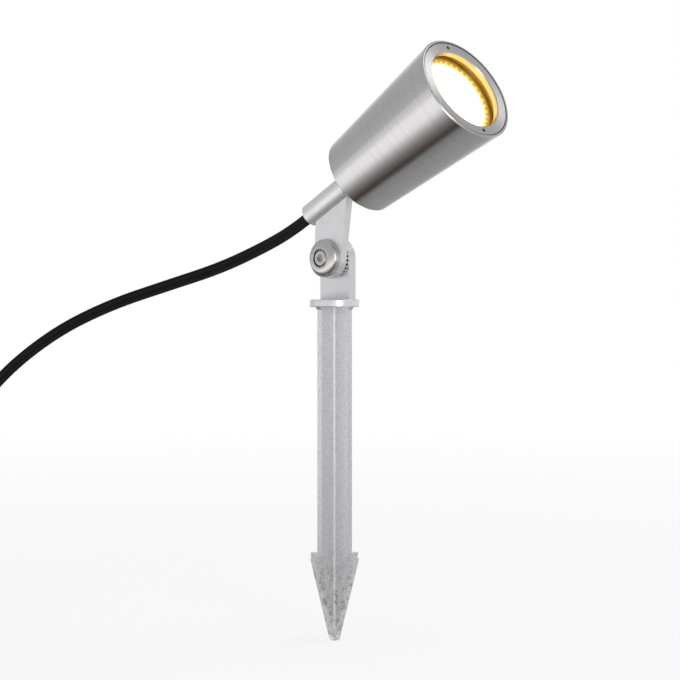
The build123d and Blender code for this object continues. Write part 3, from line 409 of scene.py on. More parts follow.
# %% Cast aluminium for the arm
GRAIN_MM = 0.5
FLOW_MM = 7.0


def cast_aluminium(name, light, dark, grain_height):
    """Blasted casting: light is the clean skin, dark the stained one."""
    material = new_material(name)
    place = add_node(material, "ShaderNodeTexCoord").outputs["Object"]
    grain = add_node(
        material,
        "ShaderNodeTexNoise",
        {"Scale": 1000 / GRAIN_MM, "Detail": 2.0, "Roughness": 0.6},
        {"Vector": place},
    )
    flow = add_node(
        material,
        "ShaderNodeTexNoise",
        {"Scale": 1000 / FLOW_MM, "Detail": 4.0, "Roughness": 0.55},
        {"Vector": place},
    )
    skin = add_node(
        material,
        "ShaderNodeMix",
        {"data_type": "RGBA", 6: colour(light), 7: colour(dark)},
        {
            0: add_node(
                material,
                "ShaderNodeMapRange",
                {"From Min": 0.45, "From Max": 0.75},
                {"Value": flow.outputs["Fac"]},
            ).outputs[0]
        },
    )
    sheen = add_node(
        material,
        "ShaderNodeMapRange",
        {"From Min": 0.3, "From Max": 0.7, "To Min": 0.44, "To Max": 0.52},
        {"Value": flow.outputs["Fac"]},
    )
    relief = add_node(
        material,
        "ShaderNodeBump",
        {"Strength": 0.5, "Distance": grain_height},
        {"Height": grain.outputs["Fac"]},
    )
    surface = add_node(
        material,
        "ShaderNodeBsdfPrincipled",
        {"Metallic": 1.0},
        {
            "Base Color": skin.outputs[2],
            "Roughness": sheen.outputs[0],
            "Normal": relief.outputs[0],
        },
    )
    add_node(material, "ShaderNodeOutputMaterial", {}, {"Surface": surface.outputs[0]})
    return material


finishes["cast_aluminium"] = cast_aluminium(
    "blasted cast aluminium", "#e8e8ea", "#dedee1", 0.00005
)
print("grain scale:", 1000 / GRAIN_MM, "flow scale:", round(1000 / FLOW_MM))

# %% [markdown]
# The spike is the same metal with a rougher life. Its grain is mottled light and dark.
# The mould fills last at the tip, so the skin there has dull stains and pits of about
# 3 mm. The round collar is turned on a lathe after casting and shines more. One material
# can hold all of it: it asks for the height of each point, gives the turned band its
# shine and lets the stains begin near the tip.

# %% Cast aluminium for the spike
STAIN_MM = 3.0
stain_start = -0.128
stain_full = -0.150
collar_base = -0.0002
collar_top = 0.0043
turned_roughness = 0.3
pebble_height = 0.00008
pit_depth = 0.00025


def spike_metal():
    """The casting of the spike, with its turned collar and stained arrow tip."""
    material = new_material("rough cast aluminium")
    place = add_node(material, "ShaderNodeTexCoord").outputs["Object"]
    height = add_node(material, "ShaderNodeSeparateXYZ", {}, {0: place}).outputs[2]
    grain = add_node(
        material,
        "ShaderNodeTexNoise",
        {"Scale": 1000 / GRAIN_MM, "Detail": 2.0, "Roughness": 0.6},
        {"Vector": place},
    )
    stains = add_node(
        material,
        "ShaderNodeTexNoise",
        {"Scale": 1000 / STAIN_MM, "Detail": 5.0, "Roughness": 0.65},
        {"Vector": place},
    )
    low = add_node(
        material,
        "ShaderNodeMapRange",
        {
            "From Min": stain_start,
            "From Max": stain_full,
            "interpolation_type": "SMOOTHSTEP",
        },
        {"Value": height},
    )
    patches = add_node(
        material,
        "ShaderNodeMapRange",
        {"From Min": 0.5, "From Max": 0.68},
        {"Value": stains.outputs["Fac"]},
    )
    stained = add_node(
        material,
        "ShaderNodeMath",
        {"operation": "MULTIPLY"},
        {0: low.outputs[0], 1: patches.outputs[0]},
    )
    mottle = add_node(
        material,
        "ShaderNodeMix",
        {"data_type": "RGBA", 6: colour("#d0d0d3"), 7: colour("#f0f0f2")},
        {
            0: add_node(
                material,
                "ShaderNodeMapRange",
                {"From Min": 0.35, "From Max": 0.65},
                {"Value": grain.outputs["Fac"]},
            ).outputs[0]
        },
    )
    skin = add_node(
        material,
        "ShaderNodeMix",
        {"data_type": "RGBA", 7: colour("#a8a4a2")},
        {0: stained.outputs[0], 6: mottle.outputs[2]},
    )
    band_top = add_node(
        material,
        "ShaderNodeMath",
        {"operation": "LESS_THAN", 1: collar_top},
        {0: height},
    )
    band = add_node(
        material,
        "ShaderNodeMath",
        {"operation": "GREATER_THAN", 1: collar_base},
        {0: height},
    )
    machined = add_node(
        material,
        "ShaderNodeMath",
        {"operation": "MULTIPLY"},
        {0: band.outputs[0], 1: band_top.outputs[0]},
    )
    dull = add_node(
        material,
        "ShaderNodeMapRange",
        {"To Min": 0.46, "To Max": 0.6},
        {"Value": stained.outputs[0]},
    )
    gloss = add_node(
        material,
        "ShaderNodeMix",
        {"data_type": "FLOAT", 3: turned_roughness},
        {0: machined.outputs[0], 2: dull.outputs[0]},
    )
    relief = add_node(
        material,
        "ShaderNodeBump",
        {"Strength": 0.5, "Distance": pebble_height},
        {"Height": grain.outputs["Fac"]},
    )
    pits = add_node(
        material,
        "ShaderNodeBump",
        {"Strength": 0.6, "Distance": pit_depth},
        {"Height": stained.outputs[0], "Normal": relief.outputs[0]},
    )
    surface = add_node(
        material,
        "ShaderNodeBsdfPrincipled",
        {"Metallic": 1.0},
        {
            "Base Color": skin.outputs[2],
            "Roughness": gloss.outputs[0],
            "Normal": pits.outputs[0],
        },
    )
    add_node(material, "ShaderNodeOutputMaterial", {}, {"Surface": surface.outputs[0]})
    return material


finishes["spike_casting"] = spike_metal()
print("stain scale:", round(1000 / STAIN_MM))

# %% [markdown]
# ## Turned aluminium
# The head and the bezel are turned on a lathe, so their tool marks run round the head's
# axis, and the glow of the lens changes with the distance from it. Both need to know how
# a point lies to that axis. A cross product in the shader tells it: the result points
# along the tool marks, and it is as long as the point is far from the axis.

# %% Distance from the head's axis


def round_the_axis(material, place):
    """The way from the head's rear, the way round its axis, the distance from it."""
    from_rear = add_node(
        material,
        "ShaderNodeVectorMath",
        {"operation": "SUBTRACT", 1: rear_centre},
        {0: place},
    ).outputs[0]
    sideways = add_node(
        material,
        "ShaderNodeVectorMath",
        {"operation": "CROSS_PRODUCT", 0: head_axis},
        {1: from_rear},
    ).outputs[0]
    out_from_axis = add_node(
        material, "ShaderNodeVectorMath", {"operation": "LENGTH"}, {0: sideways}
    ).outputs["Value"]
    return from_rear, sideways, out_from_axis


print("head axis:", [round(value, 3) for value in head_axis])

# %% [markdown]
# The head is turned from aluminium and then anodised clear. The tool leaves rings of
# about a tenth of a millimetre. Light spreads across the rings and stays sharp along
# them, so the head shows long bands from front to back. Real rings are too fine for a
# picture of this size, so they are drawn 0.6 mm apart. The stretch comes from the
# shader's anisotropy, which needs the direction of the rings.
# The bezel has three places of its own: dust and painted shade in the joint round it,
# painted shade in the holes in its face for a pin spanner, and a painted amber
# reflection in its bore, where it would mirror the amber ring inside.

# %% Turned aluminium for the head and the bezel
bezel_face = 0.08585
bezel_bore = 0.02250
bezel_joint = 0.02762
face_depth = 0.0009
RING_MM = 0.6


def turned_aluminium(name, light, dark, roughness, stretch, bore=0, joint=1, deep=-1):
    """Metal turned round the head's axis.

    It has dust and painted shade past the joint's radius, painted shade in holes below
    the deep station, and a painted amber reflection in the bore.
    """
    material = new_material(name)
    place = add_node(material, "ShaderNodeTexCoord").outputs["Object"]
    from_rear, sideways, out_from_axis = round_the_axis(material, place)
    station = add_node(
        material,
        "ShaderNodeVectorMath",
        {"operation": "DOT_PRODUCT", 1: head_axis},
        {0: from_rear},
    ).outputs["Value"]
    ring_way = add_node(
        material,
        "ShaderNodeVectorTransform",
        {"vector_type": "VECTOR", "convert_from": "OBJECT", "convert_to": "WORLD"},
        {0: sideways},
    ).outputs[0]
    ring_place = add_node(
        material, "ShaderNodeCombineXYZ", {}, {0: station, 1: out_from_axis}
    ).outputs[0]
    rings = add_node(
        material,
        "ShaderNodeTexNoise",
        {"Scale": 1000 / RING_MM, "Detail": 2.0, "Roughness": 0.7},
        {"Vector": ring_place},
    ).outputs["Fac"]
    skin = add_node(
        material,
        "ShaderNodeMix",
        {"data_type": "RGBA", 6: colour(dark), 7: colour(light)},
        {
            0: add_node(
                material,
                "ShaderNodeMapRange",
                {"From Min": 0.35, "From Max": 0.65},
                {"Value": rings},
            ).outputs[0]
        },
    )
    # Dust and painted shade: the fine joint round the bezel is darkened.
    joint_dust_and_shade = add_node(
        material,
        "ShaderNodeMath",
        {"operation": "GREATER_THAN", 1: joint},
        {0: out_from_axis},
    ).outputs[0]
    # Painted shade: the holes and the thread wall below the face are darkened.
    below = add_node(
        material, "ShaderNodeMath", {"operation": "LESS_THAN", 1: deep}, {0: station}
    ).outputs[0]
    inside = add_node(
        material,
        "ShaderNodeMath",
        {"operation": "LESS_THAN", 1: bore},
        {0: out_from_axis},
    ).outputs[0]
    in_hole = add_node(
        material,
        "ShaderNodeMath",
        {"operation": "SUBTRACT", "use_clamp": True},
        {0: below, 1: inside},
    ).outputs[0]
    shaded = add_node(
        material, "ShaderNodeMath", {"operation": "MAXIMUM"}, {0: joint_dust_and_shade, 1: in_hole}
    ).outputs[0]
    # Painted reflection: the bore is tinted amber where it would mirror the lamp's amber
    # ring.
    in_bore = add_node(
        material, "ShaderNodeMath", {"operation": "MULTIPLY"}, {0: below, 1: inside}
    ).outputs[0]
    painted_amber_reflection = add_node(
        material,
        "ShaderNodeMix",
        {"data_type": "RGBA", 7: colour("#e2cc98")},
        {0: in_bore, 6: skin.outputs[2]},
    )
    # The joint and the holes both turn #4a4846: dust and painted shade.
    dust_and_painted_shade = add_node(
        material,
        "ShaderNodeMix",
        {"data_type": "RGBA", 7: colour("#4a4846")},
        {0: shaded, 6: painted_amber_reflection.outputs[2]},
    )
    relief = add_node(
        material,
        "ShaderNodeBump",
        {"Strength": 0.15, "Distance": 0.00001},
        {"Height": rings},
    )
    surface = add_node(
        material,
        "ShaderNodeBsdfPrincipled",
        {
            "Metallic": 1.0,
            "Roughness": roughness,
            "Anisotropic": stretch,
            "Anisotropic Rotation": 0.25,
        },
        {
            "Base Color": dust_and_painted_shade.outputs[2],
            "Normal": relief.outputs[0],
            "Tangent": ring_way,
        },
    )
    add_node(material, "ShaderNodeOutputMaterial", {}, {"Surface": surface.outputs[0]})
    return material


finishes["turned_aluminium"] = turned_aluminium(
    "turned anodised aluminium", "#cac8c8", "#c1bfbf", 0.24, 0.6
)
finishes["bezel_aluminium"] = turned_aluminium(
    "satin turned aluminium",
    "#cac8c8",
    "#bcbaba",
    0.3,
    0.8,
    bore=bezel_bore,
    joint=bezel_joint,
    deep=bezel_face - face_depth,
)
print("ring scale:", round(1000 / RING_MM))

# %% [markdown]
# ## Plain metals
# The rest of the metal needs one recipe with other numbers: a colour, a roughness and a
# noise that makes both wander a little, as handling and plating do. Stainless steel is
# greyer than aluminium, nickel is slightly yellow, zinc has a cool frosted bloom, and
# tin over copper lets some of the copper's warmth through. The winding is copper under
# clear enamel, and the heat sink has a thin gold film of chromate.

# %% Metals of the small parts


def small_metal(name, light, dark, rough_low, rough_high, patch_mm, height):
    """A metal whose colour and roughness wander over patches of this size."""
    material = new_material(name)
    place = add_node(material, "ShaderNodeTexCoord").outputs["Object"]
    patches = add_node(
        material,
        "ShaderNodeTexNoise",
        {"Scale": 1000 / patch_mm, "Detail": 4.0, "Roughness": 0.6},
        {"Vector": place},
    ).outputs["Fac"]
    skin = add_node(
        material,
        "ShaderNodeMix",
        {"data_type": "RGBA", 6: colour(light), 7: colour(dark)},
        {0: patches},
    )
    sheen = add_node(
        material,
        "ShaderNodeMapRange",
        {"From Min": 0.3, "From Max": 0.7, "To Min": rough_low, "To Max": rough_high},
        {"Value": patches},
    )
    relief = add_node(
        material,
        "ShaderNodeBump",
        {"Strength": 0.3, "Distance": height},
        {"Height": patches},
    )
    surface = add_node(
        material,
        "ShaderNodeBsdfPrincipled",
        {"Metallic": 1.0},
        {
            "Base Color": skin.outputs[2],
            "Roughness": sheen.outputs[0],
            "Normal": relief.outputs[0],
        },
    )
    add_node(material, "ShaderNodeOutputMaterial", {}, {"Surface": surface.outputs[0]})
    return material


finishes["polished_steel"] = small_metal(
    "satin stainless steel", "#cdccca", "#c3c2c0", 0.24, 0.32, 2.5, 0.00001
)
finishes["nickel_plated_brass"] = small_metal(
    "nickel plated brass", "#d2cdc2", "#c6c0b3", 0.12, 0.22, 1.2, 0.000005
)
finishes["zinc_plated_steel"] = small_metal(
    "zinc plated steel", "#b9bcc0", "#a3a6aa", 0.3, 0.45, 0.8, 0.00001
)
finishes["tinned_copper"] = small_metal(
    "tinned copper", "#c9c1b4", "#b08a66", 0.25, 0.4, 0.9, 0.00001
)
finishes["copper_winding"] = small_metal(
    "enamelled copper wire", "#b3622e", "#8f4419", 0.2, 0.3, 0.35, 0.00006
)
finishes["heat_sink"] = small_metal(
    "gold chromated die-cast aluminium", "#d6b25e", "#bd9440", 0.35, 0.5, 1.0, 0.00003
)
print("metals:", len(finishes))

# %% [markdown]
# ## Moulded and fired materials
# The black parts are soft PVC on the cord, hard nylon on the plug and rubber in the
# seals. They differ in how they shine: PVC is smooth, nearly black and mirrors little,
# the plug was sparked to a fine leathery grain in its mould and looks dark grey, and
# rubber is matt. Ceramic, natural nylon and silicone share the same recipe, with their
# own colour, shine and grain. A cloud twelve grains wide lets the colour and the shine
# wander a little over each.

# %% Plastics, rubber and ceramic
CLOUD_GRAINS = 12


def moulded(name, light, dark, rough_low, rough_high, grain_mm, height, shader):
    """A non-metal with a grain from its mould, and settings for its shader."""
    material = new_material(name)
    place = add_node(material, "ShaderNodeTexCoord").outputs["Object"]
    grain = add_node(
        material,
        "ShaderNodeTexNoise",
        {"Scale": 1000 / grain_mm, "Detail": 3.0, "Roughness": 0.6},
        {"Vector": place},
    ).outputs["Fac"]
    cloud = add_node(
        material,
        "ShaderNodeTexNoise",
        {"Scale": 1000 / (grain_mm * CLOUD_GRAINS), "Detail": 3.0},
        {"Vector": place},
    ).outputs["Fac"]
    skin = add_node(
        material,
        "ShaderNodeMix",
        {"data_type": "RGBA", 6: colour(light), 7: colour(dark)},
        {0: cloud},
    )
    sheen = add_node(
        material,
        "ShaderNodeMapRange",
        {"From Min": 0.3, "From Max": 0.7, "To Min": rough_low, "To Max": rough_high},
        {"Value": cloud},
    )
    relief = add_node(
        material,
        "ShaderNodeBump",
        {"Strength": 0.4, "Distance": height},
        {"Height": grain},
    )
    surface = add_node(
        material,
        "ShaderNodeBsdfPrincipled",
        shader,
        {
            "Base Color": skin.outputs[2],
            "Roughness": sheen.outputs[0],
            "Normal": relief.outputs[0],
        },
    )
    add_node(material, "ShaderNodeOutputMaterial", {}, {"Surface": surface.outputs[0]})
    return material


finishes["black_pvc"] = moulded(
    "soft black pvc",
    "#080809",
    "#050506",
    0.28,
    0.38,
    0.6,
    0.00001,
    {"IOR": 1.4, "Specular IOR Level": 0.2},
)
finishes["black_plug"] = moulded(
    "black moulded nylon", "#222224", "#19191b", 0.36, 0.5, 0.45, 0.00004, {"IOR": 1.53}
)
finishes["black_rubber"] = moulded(
    "black moulded rubber", "#1d1d1d", "#141414", 0.6, 0.75, 0.5, 0.00003, {"IOR": 1.52}
)
finishes["nylon"] = moulded(
    "natural nylon", "#dddad0", "#cfcbbf", 0.35, 0.5, 0.5, 0.00003, {"IOR": 1.53}
)
finishes["lead_insulation"] = moulded(
    "red silicone rubber", "#9c2a22", "#86211b", 0.45, 0.6, 0.5, 0.00003, {"IOR": 1.41}
)
# The gaskets' amber emission is a painted glow that stands in for the lamp's light on
# them.
finishes["amber_silicone_painted_glow"] = moulded(
    "amber silicone with painted glow",
    "#c89a2a",
    "#94701a",
    0.35,
    0.5,
    0.5,
    0.00003,
    {"IOR": 1.41, "Emission Color": colour("#b08414"), "Emission Strength": 0.45},
)
finishes["ceramic"] = moulded(
    "unglazed steatite", "#e2ddd2", "#d2cbbc", 0.6, 0.75, 0.3, 0.00004, {"IOR": 1.6}
)
finishes["lamp_body"] = moulded(
    "white thermoplastic", "#e8e5dc", "#dedad0", 0.3, 0.42, 0.4, 0.00002, {"IOR": 1.58}
)
finishes["circuit_board"] = moulded(
    "green solder mask", "#1f6b3a", "#17552d", 0.25, 0.35, 0.7, 0.00003, {"IOR": 1.5}
)
print("finishes so far:", len(finishes))

# %% [markdown]
# ## The lit lamp
# Behind the glass sits a lamp of 50 mm with a frosted lens. Its middle is far too bright
# for a picture and clips to white, and towards its rim the light turns golden, because
# there it has gone round through the rim of the lens. A distance from the head's axis is
# all that the lens needs: its glow runs from warm white in the middle to gold at the rim.
# The ring that holds the lens is amber plastic with a painted glow, which stands in for
# the lamp's light on it.
# A ray that has already bounced finds one even, softer glow, so that the bore and the
# other metal round the lens mirror it without burning out.

# %% Lens, light source and retainer
lens_radius = 0.0219
lens_stops = [
    (0.0, "#ffdc98"),
    (0.88, "#ffd27c"),
    (0.96, "#f8bc38"),
    (1.0, "#dc9c14"),
]
mirrored_glow = "#ffe2a0"
mirrored_power = 1.8
middle_power = 6.0
rim_power = 1.5
rim_start = 0.86
FACET_MM = 1.6


def fill_ramp(ramp, stops):
    """Gives a colour ramp these stops, each a place and a linear colour."""
    while len(ramp.elements) < len(stops):
        ramp.elements.new(0.5)
    for element, (position, tint) in zip(ramp.elements, stops):
        element.position = position
        element.color = tint


def lit_lens():
    """Frosted lens whose glow clips to white in the middle and is golden at the rim."""
    material = new_material("frosted lit lens")
    place = add_node(material, "ShaderNodeTexCoord").outputs["Object"]
    distance = round_the_axis(material, place)[-1]
    share = add_node(
        material,
        "ShaderNodeMapRange",
        {"From Max": lens_radius},
        {"Value": distance},
    ).outputs[0]
    glow = add_node(material, "ShaderNodeValToRGB", {}, {0: share})
    fill_ramp(glow.color_ramp, [(at, colour(tint)) for at, tint in lens_stops])
    power = add_node(
        material,
        "ShaderNodeMapRange",
        {"From Min": rim_start, "To Min": middle_power, "To Max": rim_power},
        {"Value": share},
    )
    path = add_node(material, "ShaderNodeLightPath")
    bounced = add_node(
        material,
        "ShaderNodeMath",
        {"operation": "ADD", "use_clamp": True},
        {0: path.outputs["Diffuse Depth"], 1: path.outputs["Glossy Depth"]},
    ).outputs[0]
    light = add_node(
        material,
        "ShaderNodeMix",
        {"data_type": "RGBA", 7: colour(mirrored_glow)},
        {0: bounced, 6: glow.outputs[0]},
    )
    strength = add_node(
        material,
        "ShaderNodeMix",
        {"data_type": "FLOAT", 3: mirrored_power},
        {0: bounced, 2: power.outputs[0]},
    )
    facets = add_node(
        material,
        "ShaderNodeTexVoronoi",
        {"Scale": 1000 / FACET_MM},
        {"Vector": place},
    )
    relief = add_node(
        material,
        "ShaderNodeBump",
        {"Strength": 0.3, "Distance": 0.0001},
        {"Height": facets.outputs["Distance"]},
    )
    surface = add_node(
        material,
        "ShaderNodeBsdfPrincipled",
        {"Base Color": colour("#f2ead2"), "Roughness": 0.35, "IOR": 1.49},
        {
            "Emission Color": light.outputs[2],
            "Emission Strength": strength.outputs[0],
            "Normal": relief.outputs[0],
        },
    )
    add_node(material, "ShaderNodeOutputMaterial", {}, {"Surface": surface.outputs[0]})
    return material


finishes["lamp_lens"] = lit_lens()
finishes["led_white"] = moulded(
    "yellow phosphor",
    "#f1dc7c",
    "#e8cf62",
    0.4,
    0.5,
    0.3,
    0.00002,
    {"Emission Color": colour("#ffdf9a"), "Emission Strength": 4.0},
)
# Painted glow: the amber retainer's emission stands in for the lamp's light falling on
# it.
finishes["lens_retainer"] = moulded(
    "amber plastic with painted glow",
    "#f2c648",
    "#dca22a",
    0.3,
    0.4,
    1.0,
    0.00001,
    {"IOR": 1.5, "Emission Color": colour("#d09a1c"), "Emission Strength": 0.5},
)
print("lens glow stops:", [position for position, _ in lens_stops])

# %% [markdown]
# ## Toughened glass
# The front glass is a flat float disc. It hardly shows, apart from a soft reflection and
# a green tint at its edge, so it is clear with the usual index of soda-lime glass and
# a breath of haze that wanders over about 14 mm and breaks its reflection a little.

# %% Front glass
WAVE_MM = 14


def float_glass():
    """Clear flat glass with a faint green body colour."""
    material = new_material("toughened float glass")
    place = add_node(material, "ShaderNodeTexCoord").outputs["Object"]
    waves = add_node(
        material,
        "ShaderNodeTexNoise",
        {"Scale": 1000 / WAVE_MM, "Detail": 1.0},
        {"Vector": place},
    )
    film = add_node(
        material,
        "ShaderNodeMapRange",
        {"From Min": 0.3, "From Max": 0.7, "To Min": 0.0, "To Max": 0.03},
        {"Value": waves.outputs["Fac"]},
    )
    surface = add_node(
        material,
        "ShaderNodeBsdfPrincipled",
        {"Base Color": colour("#f6fbf8"), "IOR": 1.52, "Transmission Weight": 1.0},
        {"Roughness": film.outputs[0]},
    )
    add_node(material, "ShaderNodeOutputMaterial", {}, {"Surface": surface.outputs[0]})
    return material


finishes["clear_glass"] = float_glass()
print("finishes:", len(finishes))

# %% [markdown]
# ## Give each part its finish
# Every solid of the model keeps its shape and only gets a finish. The list reads like
# the parts list of the real lamp, sorted by what the parts are made of.

# %% Parts and their finishes
parts_by_finish = {
    "spike_casting": ["ground_spike"],
    "cast_aluminium": ["tail_bracket"],
    "turned_aluminium": ["head_shell", "rear_cap"],
    "bezel_aluminium": ["bezel_ring"],
    "polished_steel": ["dome_washer", "clamp_screw"],
    "black_rubber": ["cord_grommet", "rear_cap_seal", "stub_seal", "plug_seal"],
    "amber_silicone_painted_glow": ["glass_gasket", "seat_gasket"],
    "nylon": ["cord_clamp", "slip_washer"],
    "tinned_copper": ["crimp_sleeves", "socket_contacts"],
    "lead_insulation": ["lead_wires"],
    "zinc_plated_steel": [
        "stub_nut",
        "socket_bracket",
        "bracket_screws",
        "socket_screws",
    ],
    "clear_glass": ["front_glass"],
    "lamp_body": ["lamp_base"],
    "nickel_plated_brass": ["lamp_pins", "plug_pins"],
    "circuit_board": ["lamp_driver_board", "led_board"],
    "copper_winding": ["lamp_driver_coil"],
    "heat_sink": ["lamp_heat_sink"],
    "led_white": ["led_chips"],
    "lamp_lens": ["lamp_lens"],
    "lens_retainer": ["lens_retainer"],
    "ceramic": ["lamp_socket"],
    "black_plug": ["cord_tie", "plug_strain_relief", "plug_body", "plug_nut"],
}
for finish, parts in parts_by_finish.items():
    for part in parts:
        nodes[part].data.materials.clear()
        nodes[part].data.materials.append(finishes[finish])
for piece in (cord, inner_cord):
    piece.data.materials.append(finishes["black_pvc"])
washer.data.materials.append(finishes["polished_steel"])
dressed = sum(len(parts) for parts in parts_by_finish.values())
print("parts with a finish:", dressed, "of", len(nodes))

# %% [markdown]
# ## Floor and light
# The lamp stands on a pale studio floor under a white sky of soft light. The floor must
# look white and still carry the lamp's shadow, so for the camera and for reflections it
# is a mix of real light and a plain glow. The glow's share grows with the distance, so
# that the far floor meets the white wall behind it without a line.

# %% Floor
floor_level = -0.183
floor_reach = 6.0
least_glow = 0.72
glow_grows_from = 0.4
glow_grows_to = 1.6


def flat_square(name, reach, level):
    """A level sheet that reaches this far from the middle each way."""
    corners = [(-1, -1), (1, -1), (1, 1), (-1, 1)]
    data = bpy.data.meshes.new(name)
    places = [(x * reach, y * reach, level) for x, y in corners]
    data.from_pydata(places, [], [(0, 1, 2, 3)])
    sheet = bpy.data.objects.new(name, data)
    bpy.context.scene.collection.objects.link(sheet)
    return sheet


floor = flat_square("floor", floor_reach, floor_level)


def seen_rays(material):
    """1 for rays of the camera, of reflections and of things seen through glass."""
    path = add_node(material, "ShaderNodeLightPath")
    both = add_node(
        material,
        "ShaderNodeMath",
        {"operation": "MAXIMUM"},
        {0: path.outputs["Is Camera Ray"], 1: path.outputs["Is Glossy Ray"]},
    )
    return add_node(
        material,
        "ShaderNodeMath",
        {"operation": "MAXIMUM"},
        {0: both.outputs[0], 1: path.outputs["Is Transmission Ray"]},
    ).outputs[0]


def studio_floor():
    """Pale floor that looks white and keeps a soft shadow."""
    material = new_material("pale studio floor")
    paint = add_node(material, "ShaderNodeBsdfDiffuse", {"Color": colour("#f4f4f4")})
    glow = add_node(
        material, "ShaderNodeEmission", {"Color": colour("#ffffff"), "Strength": 1.0}
    )
    place = add_node(material, "ShaderNodeTexCoord").outputs["Object"]
    away = add_node(
        material, "ShaderNodeVectorMath", {"operation": "LENGTH"}, {0: place}
    ).outputs["Value"]
    glow_share = add_node(
        material,
        "ShaderNodeMapRange",
        {"From Min": glow_grows_from, "From Max": glow_grows_to, "To Min": least_glow},
        {"Value": away},
    )
    share = add_node(
        material,
        "ShaderNodeMath",
        {"operation": "MULTIPLY"},
        {0: seen_rays(material), 1: glow_share.outputs[0]},
    )
    mixed = add_node(
        material,
        "ShaderNodeMixShader",
        {},
        {0: share.outputs[0], 1: paint.outputs[0], 2: glow.outputs[0]},
    )
    add_node(material, "ShaderNodeOutputMaterial", {}, {"Surface": mixed.outputs[0]})
    return material


floor.data.materials.append(studio_floor())
print("floor at", floor_level)

# %% [markdown]
# The world is what metal mirrors, so it decides how the lamp's metal looks, and metal
# needs something darker to mirror than a white room. The wall behind the object is white.
# The rest is a room that is light grey on the right, darker on the left, and darkest
# overhead. Matt things only see one even light grey, and what the camera sees of the
# world, straight or through glass, is white.

# %% World
world = bpy.data.worlds.new("white studio")
world.use_nodes = True
world.node_tree.nodes.clear()
bpy.context.scene.world = world
right_wall = 0.84
left_wall = 0.64
ceiling = 0.58
backdrop = 1.0
light_on_matt = 0.8
to_camera = Vector((math.sin(view_turn), -math.cos(view_turn), 0))
to_left = Vector((-math.cos(view_turn), -math.sin(view_turn), 0))
way = add_node(world, "ShaderNodeTexCoord").outputs["Generated"]
rise = add_node(world, "ShaderNodeSeparateXYZ", {}, {0: way}).outputs[2]


def towards(direction, start, end):
    """0 to 1 as a ray of the world turns towards this direction."""
    cosine = add_node(
        world,
        "ShaderNodeVectorMath",
        {"operation": "DOT_PRODUCT", 1: direction},
        {0: way},
    )
    return add_node(
        world,
        "ShaderNodeMapRange",
        {"From Min": start, "From Max": end, "interpolation_type": "SMOOTHSTEP"},
        {"Value": cosine.outputs["Value"]},
    ).outputs[0]


def blend_greys(share, low, high):
    """A grey between two values; either may be a number or a node's output."""
    node = add_node(world, "ShaderNodeMix", {"data_type": "FLOAT"}, {0: share})
    for place, value in ((2, low), (3, high)):
        if isinstance(value, float):
            node.inputs[place].default_value = value
        else:
            world.node_tree.links.new(value, node.inputs[place])
    return node.outputs[0]


walls = blend_greys(towards(to_left, -0.9, 0.9), right_wall, left_wall)
overhead = add_node(
    world,
    "ShaderNodeMapRange",
    {"From Min": 0.1, "From Max": 0.32, "interpolation_type": "SMOOTHSTEP"},
    {"Value": rise},
).outputs[0]
room = blend_greys(overhead, walls, ceiling)
mirrored = blend_greys(towards(-to_camera, 0.8, 0.97), room, backdrop)
paths = add_node(world, "ShaderNodeLightPath")
unseen = blend_greys(paths.outputs["Is Glossy Ray"], light_on_matt, mirrored)
looked_at = add_node(
    world,
    "ShaderNodeMath",
    {"operation": "MAXIMUM"},
    {0: paths.outputs["Is Camera Ray"], 1: paths.outputs["Is Transmission Ray"]},
).outputs[0]
strength = blend_greys(looked_at, unseen, backdrop)
air = add_node(
    world, "ShaderNodeBackground", {"Color": colour("#ffffff")}, {"Strength": strength}
)
add_node(world, "ShaderNodeOutputWorld", {}, {"Surface": air.outputs[0]})
print("world nodes:", len(world.node_tree.nodes))

# %% [markdown]
# Two soft boxes do the rest. One hangs high on the right, and the other stands low beside
# the camera. A soft box is a wide lamp behind cloth: the wider it is, the softer the edge
# of its shadow. An area lamp of the same size does the same.

# %% Soft boxes


def soft_box(name, place, target, width, height, power):
    """A large soft lamp that faces the target."""
    light = bpy.data.lights.new(name, "AREA")
    light.shape = "RECTANGLE"
    light.size = width
    light.size_y = height
    light.energy = power
    lamp = bpy.data.objects.new(name, light)
    bpy.context.scene.collection.objects.link(lamp)
    lamp.location = place
    facing = Vector(target) - Vector(place)
    lamp.rotation_mode = "QUATERNION"
    lamp.rotation_quaternion = facing.to_track_quat("-Z", "Y")


soft_box("top soft box", (0.46, 0.55, 0.95), (0, 0, 0.05), 0.34, 0.34, 1.3)
soft_box("right soft box", (1.2, -0.5, 0.1), (0, 0, 0), 0.35, 0.8, 2.2)
print("lamps:", len(bpy.data.lights))

# %% [markdown]
# Turned metal shows its surroundings, so a photographer lays a card where the metal
# should get a dark line. This one lies under the head, out of the camera's sight, and its
# tone changes across it: light at the left, falling to dark and a little warm below the
# lamp, and then grey. Only reflections see it, and it casts no shadow. The spike's tip
# would mirror too much of it, so a ray shorter than about 13 cm finds a light grey.

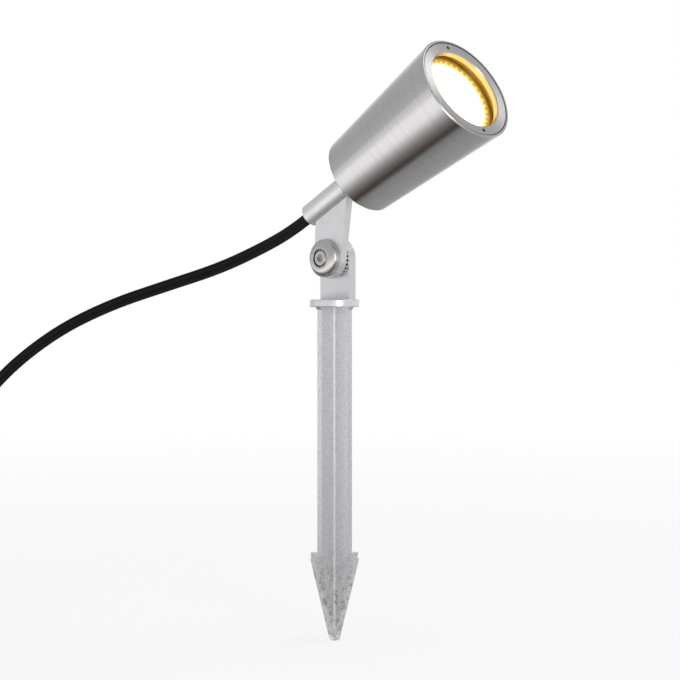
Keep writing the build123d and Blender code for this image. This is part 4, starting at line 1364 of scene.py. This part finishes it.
# %% Card under the head
card_level = -0.18
card_reach = 0.9
card_power = 1.5
near_grey = 0.66
near_until = 0.1
far_from = 0.16
warm_below = 0.3
green_loss = 0.2
blue_loss = 1.6 * green_loss
card_tones = [
    (-0.9, 1.5),
    (-0.33, 1.4),
    (-0.27, 0.9),
    (-0.22, 0.56),
    (-0.18, 0.36),
    (-0.14, 0.25),
    (-0.115, 0.19),
    (-0.095, 0.13),
    (-0.08, 0.02),
    (-0.045, 0.02),
    (-0.036, 0.32),
    (0.0, 0.34),
    (0.06, 0.42),
    (0.9, 0.6),
]


def card_colour(tone):
    """The card's colour at full power; its dark tones are a little warm."""
    value = tone / card_power
    if tone > warm_below:
        return (value, value, value, 1)
    return (value, value * (1 - green_loss), value * (1 - blue_loss), 1)


def studio_card(level):
    """A flat card near the floor that only reflections see."""
    card = flat_square("studio card", card_reach, level)
    material = new_material("toned studio card")
    place = add_node(material, "ShaderNodeTexCoord").outputs["Object"]
    across = add_node(material, "ShaderNodeSeparateXYZ", {}, {0: place}).outputs[1]
    share = add_node(
        material,
        "ShaderNodeMapRange",
        {"From Min": -card_reach, "From Max": card_reach},
        {"Value": across},
    )
    tone = add_node(material, "ShaderNodeValToRGB", {}, {0: share.outputs[0]})
    stops = [
        ((where + card_reach) / (2 * card_reach), card_colour(value))
        for where, value in card_tones
    ]
    fill_ramp(tone.color_ramp, stops)
    path = add_node(material, "ShaderNodeLightPath")
    distance = add_node(
        material,
        "ShaderNodeMapRange",
        {"From Min": near_until, "From Max": far_from},
        {"Value": path.outputs["Ray Length"]},
    )
    mixed = add_node(
        material,
        "ShaderNodeMix",
        {"data_type": "RGBA", 6: card_colour(near_grey)},
        {0: distance.outputs[0], 7: tone.outputs[0]},
    )
    glow = add_node(
        material,
        "ShaderNodeEmission",
        {"Strength": card_power},
        {"Color": mixed.outputs[2]},
    )
    add_node(material, "ShaderNodeOutputMaterial", {}, {"Surface": glow.outputs[0]})
    card.data.materials.append(material)
    card.visible_camera = False
    card.visible_diffuse = False
    card.visible_shadow = False
    card.visible_transmission = False


studio_card(card_level)
print("card tones:", len(card_tones))
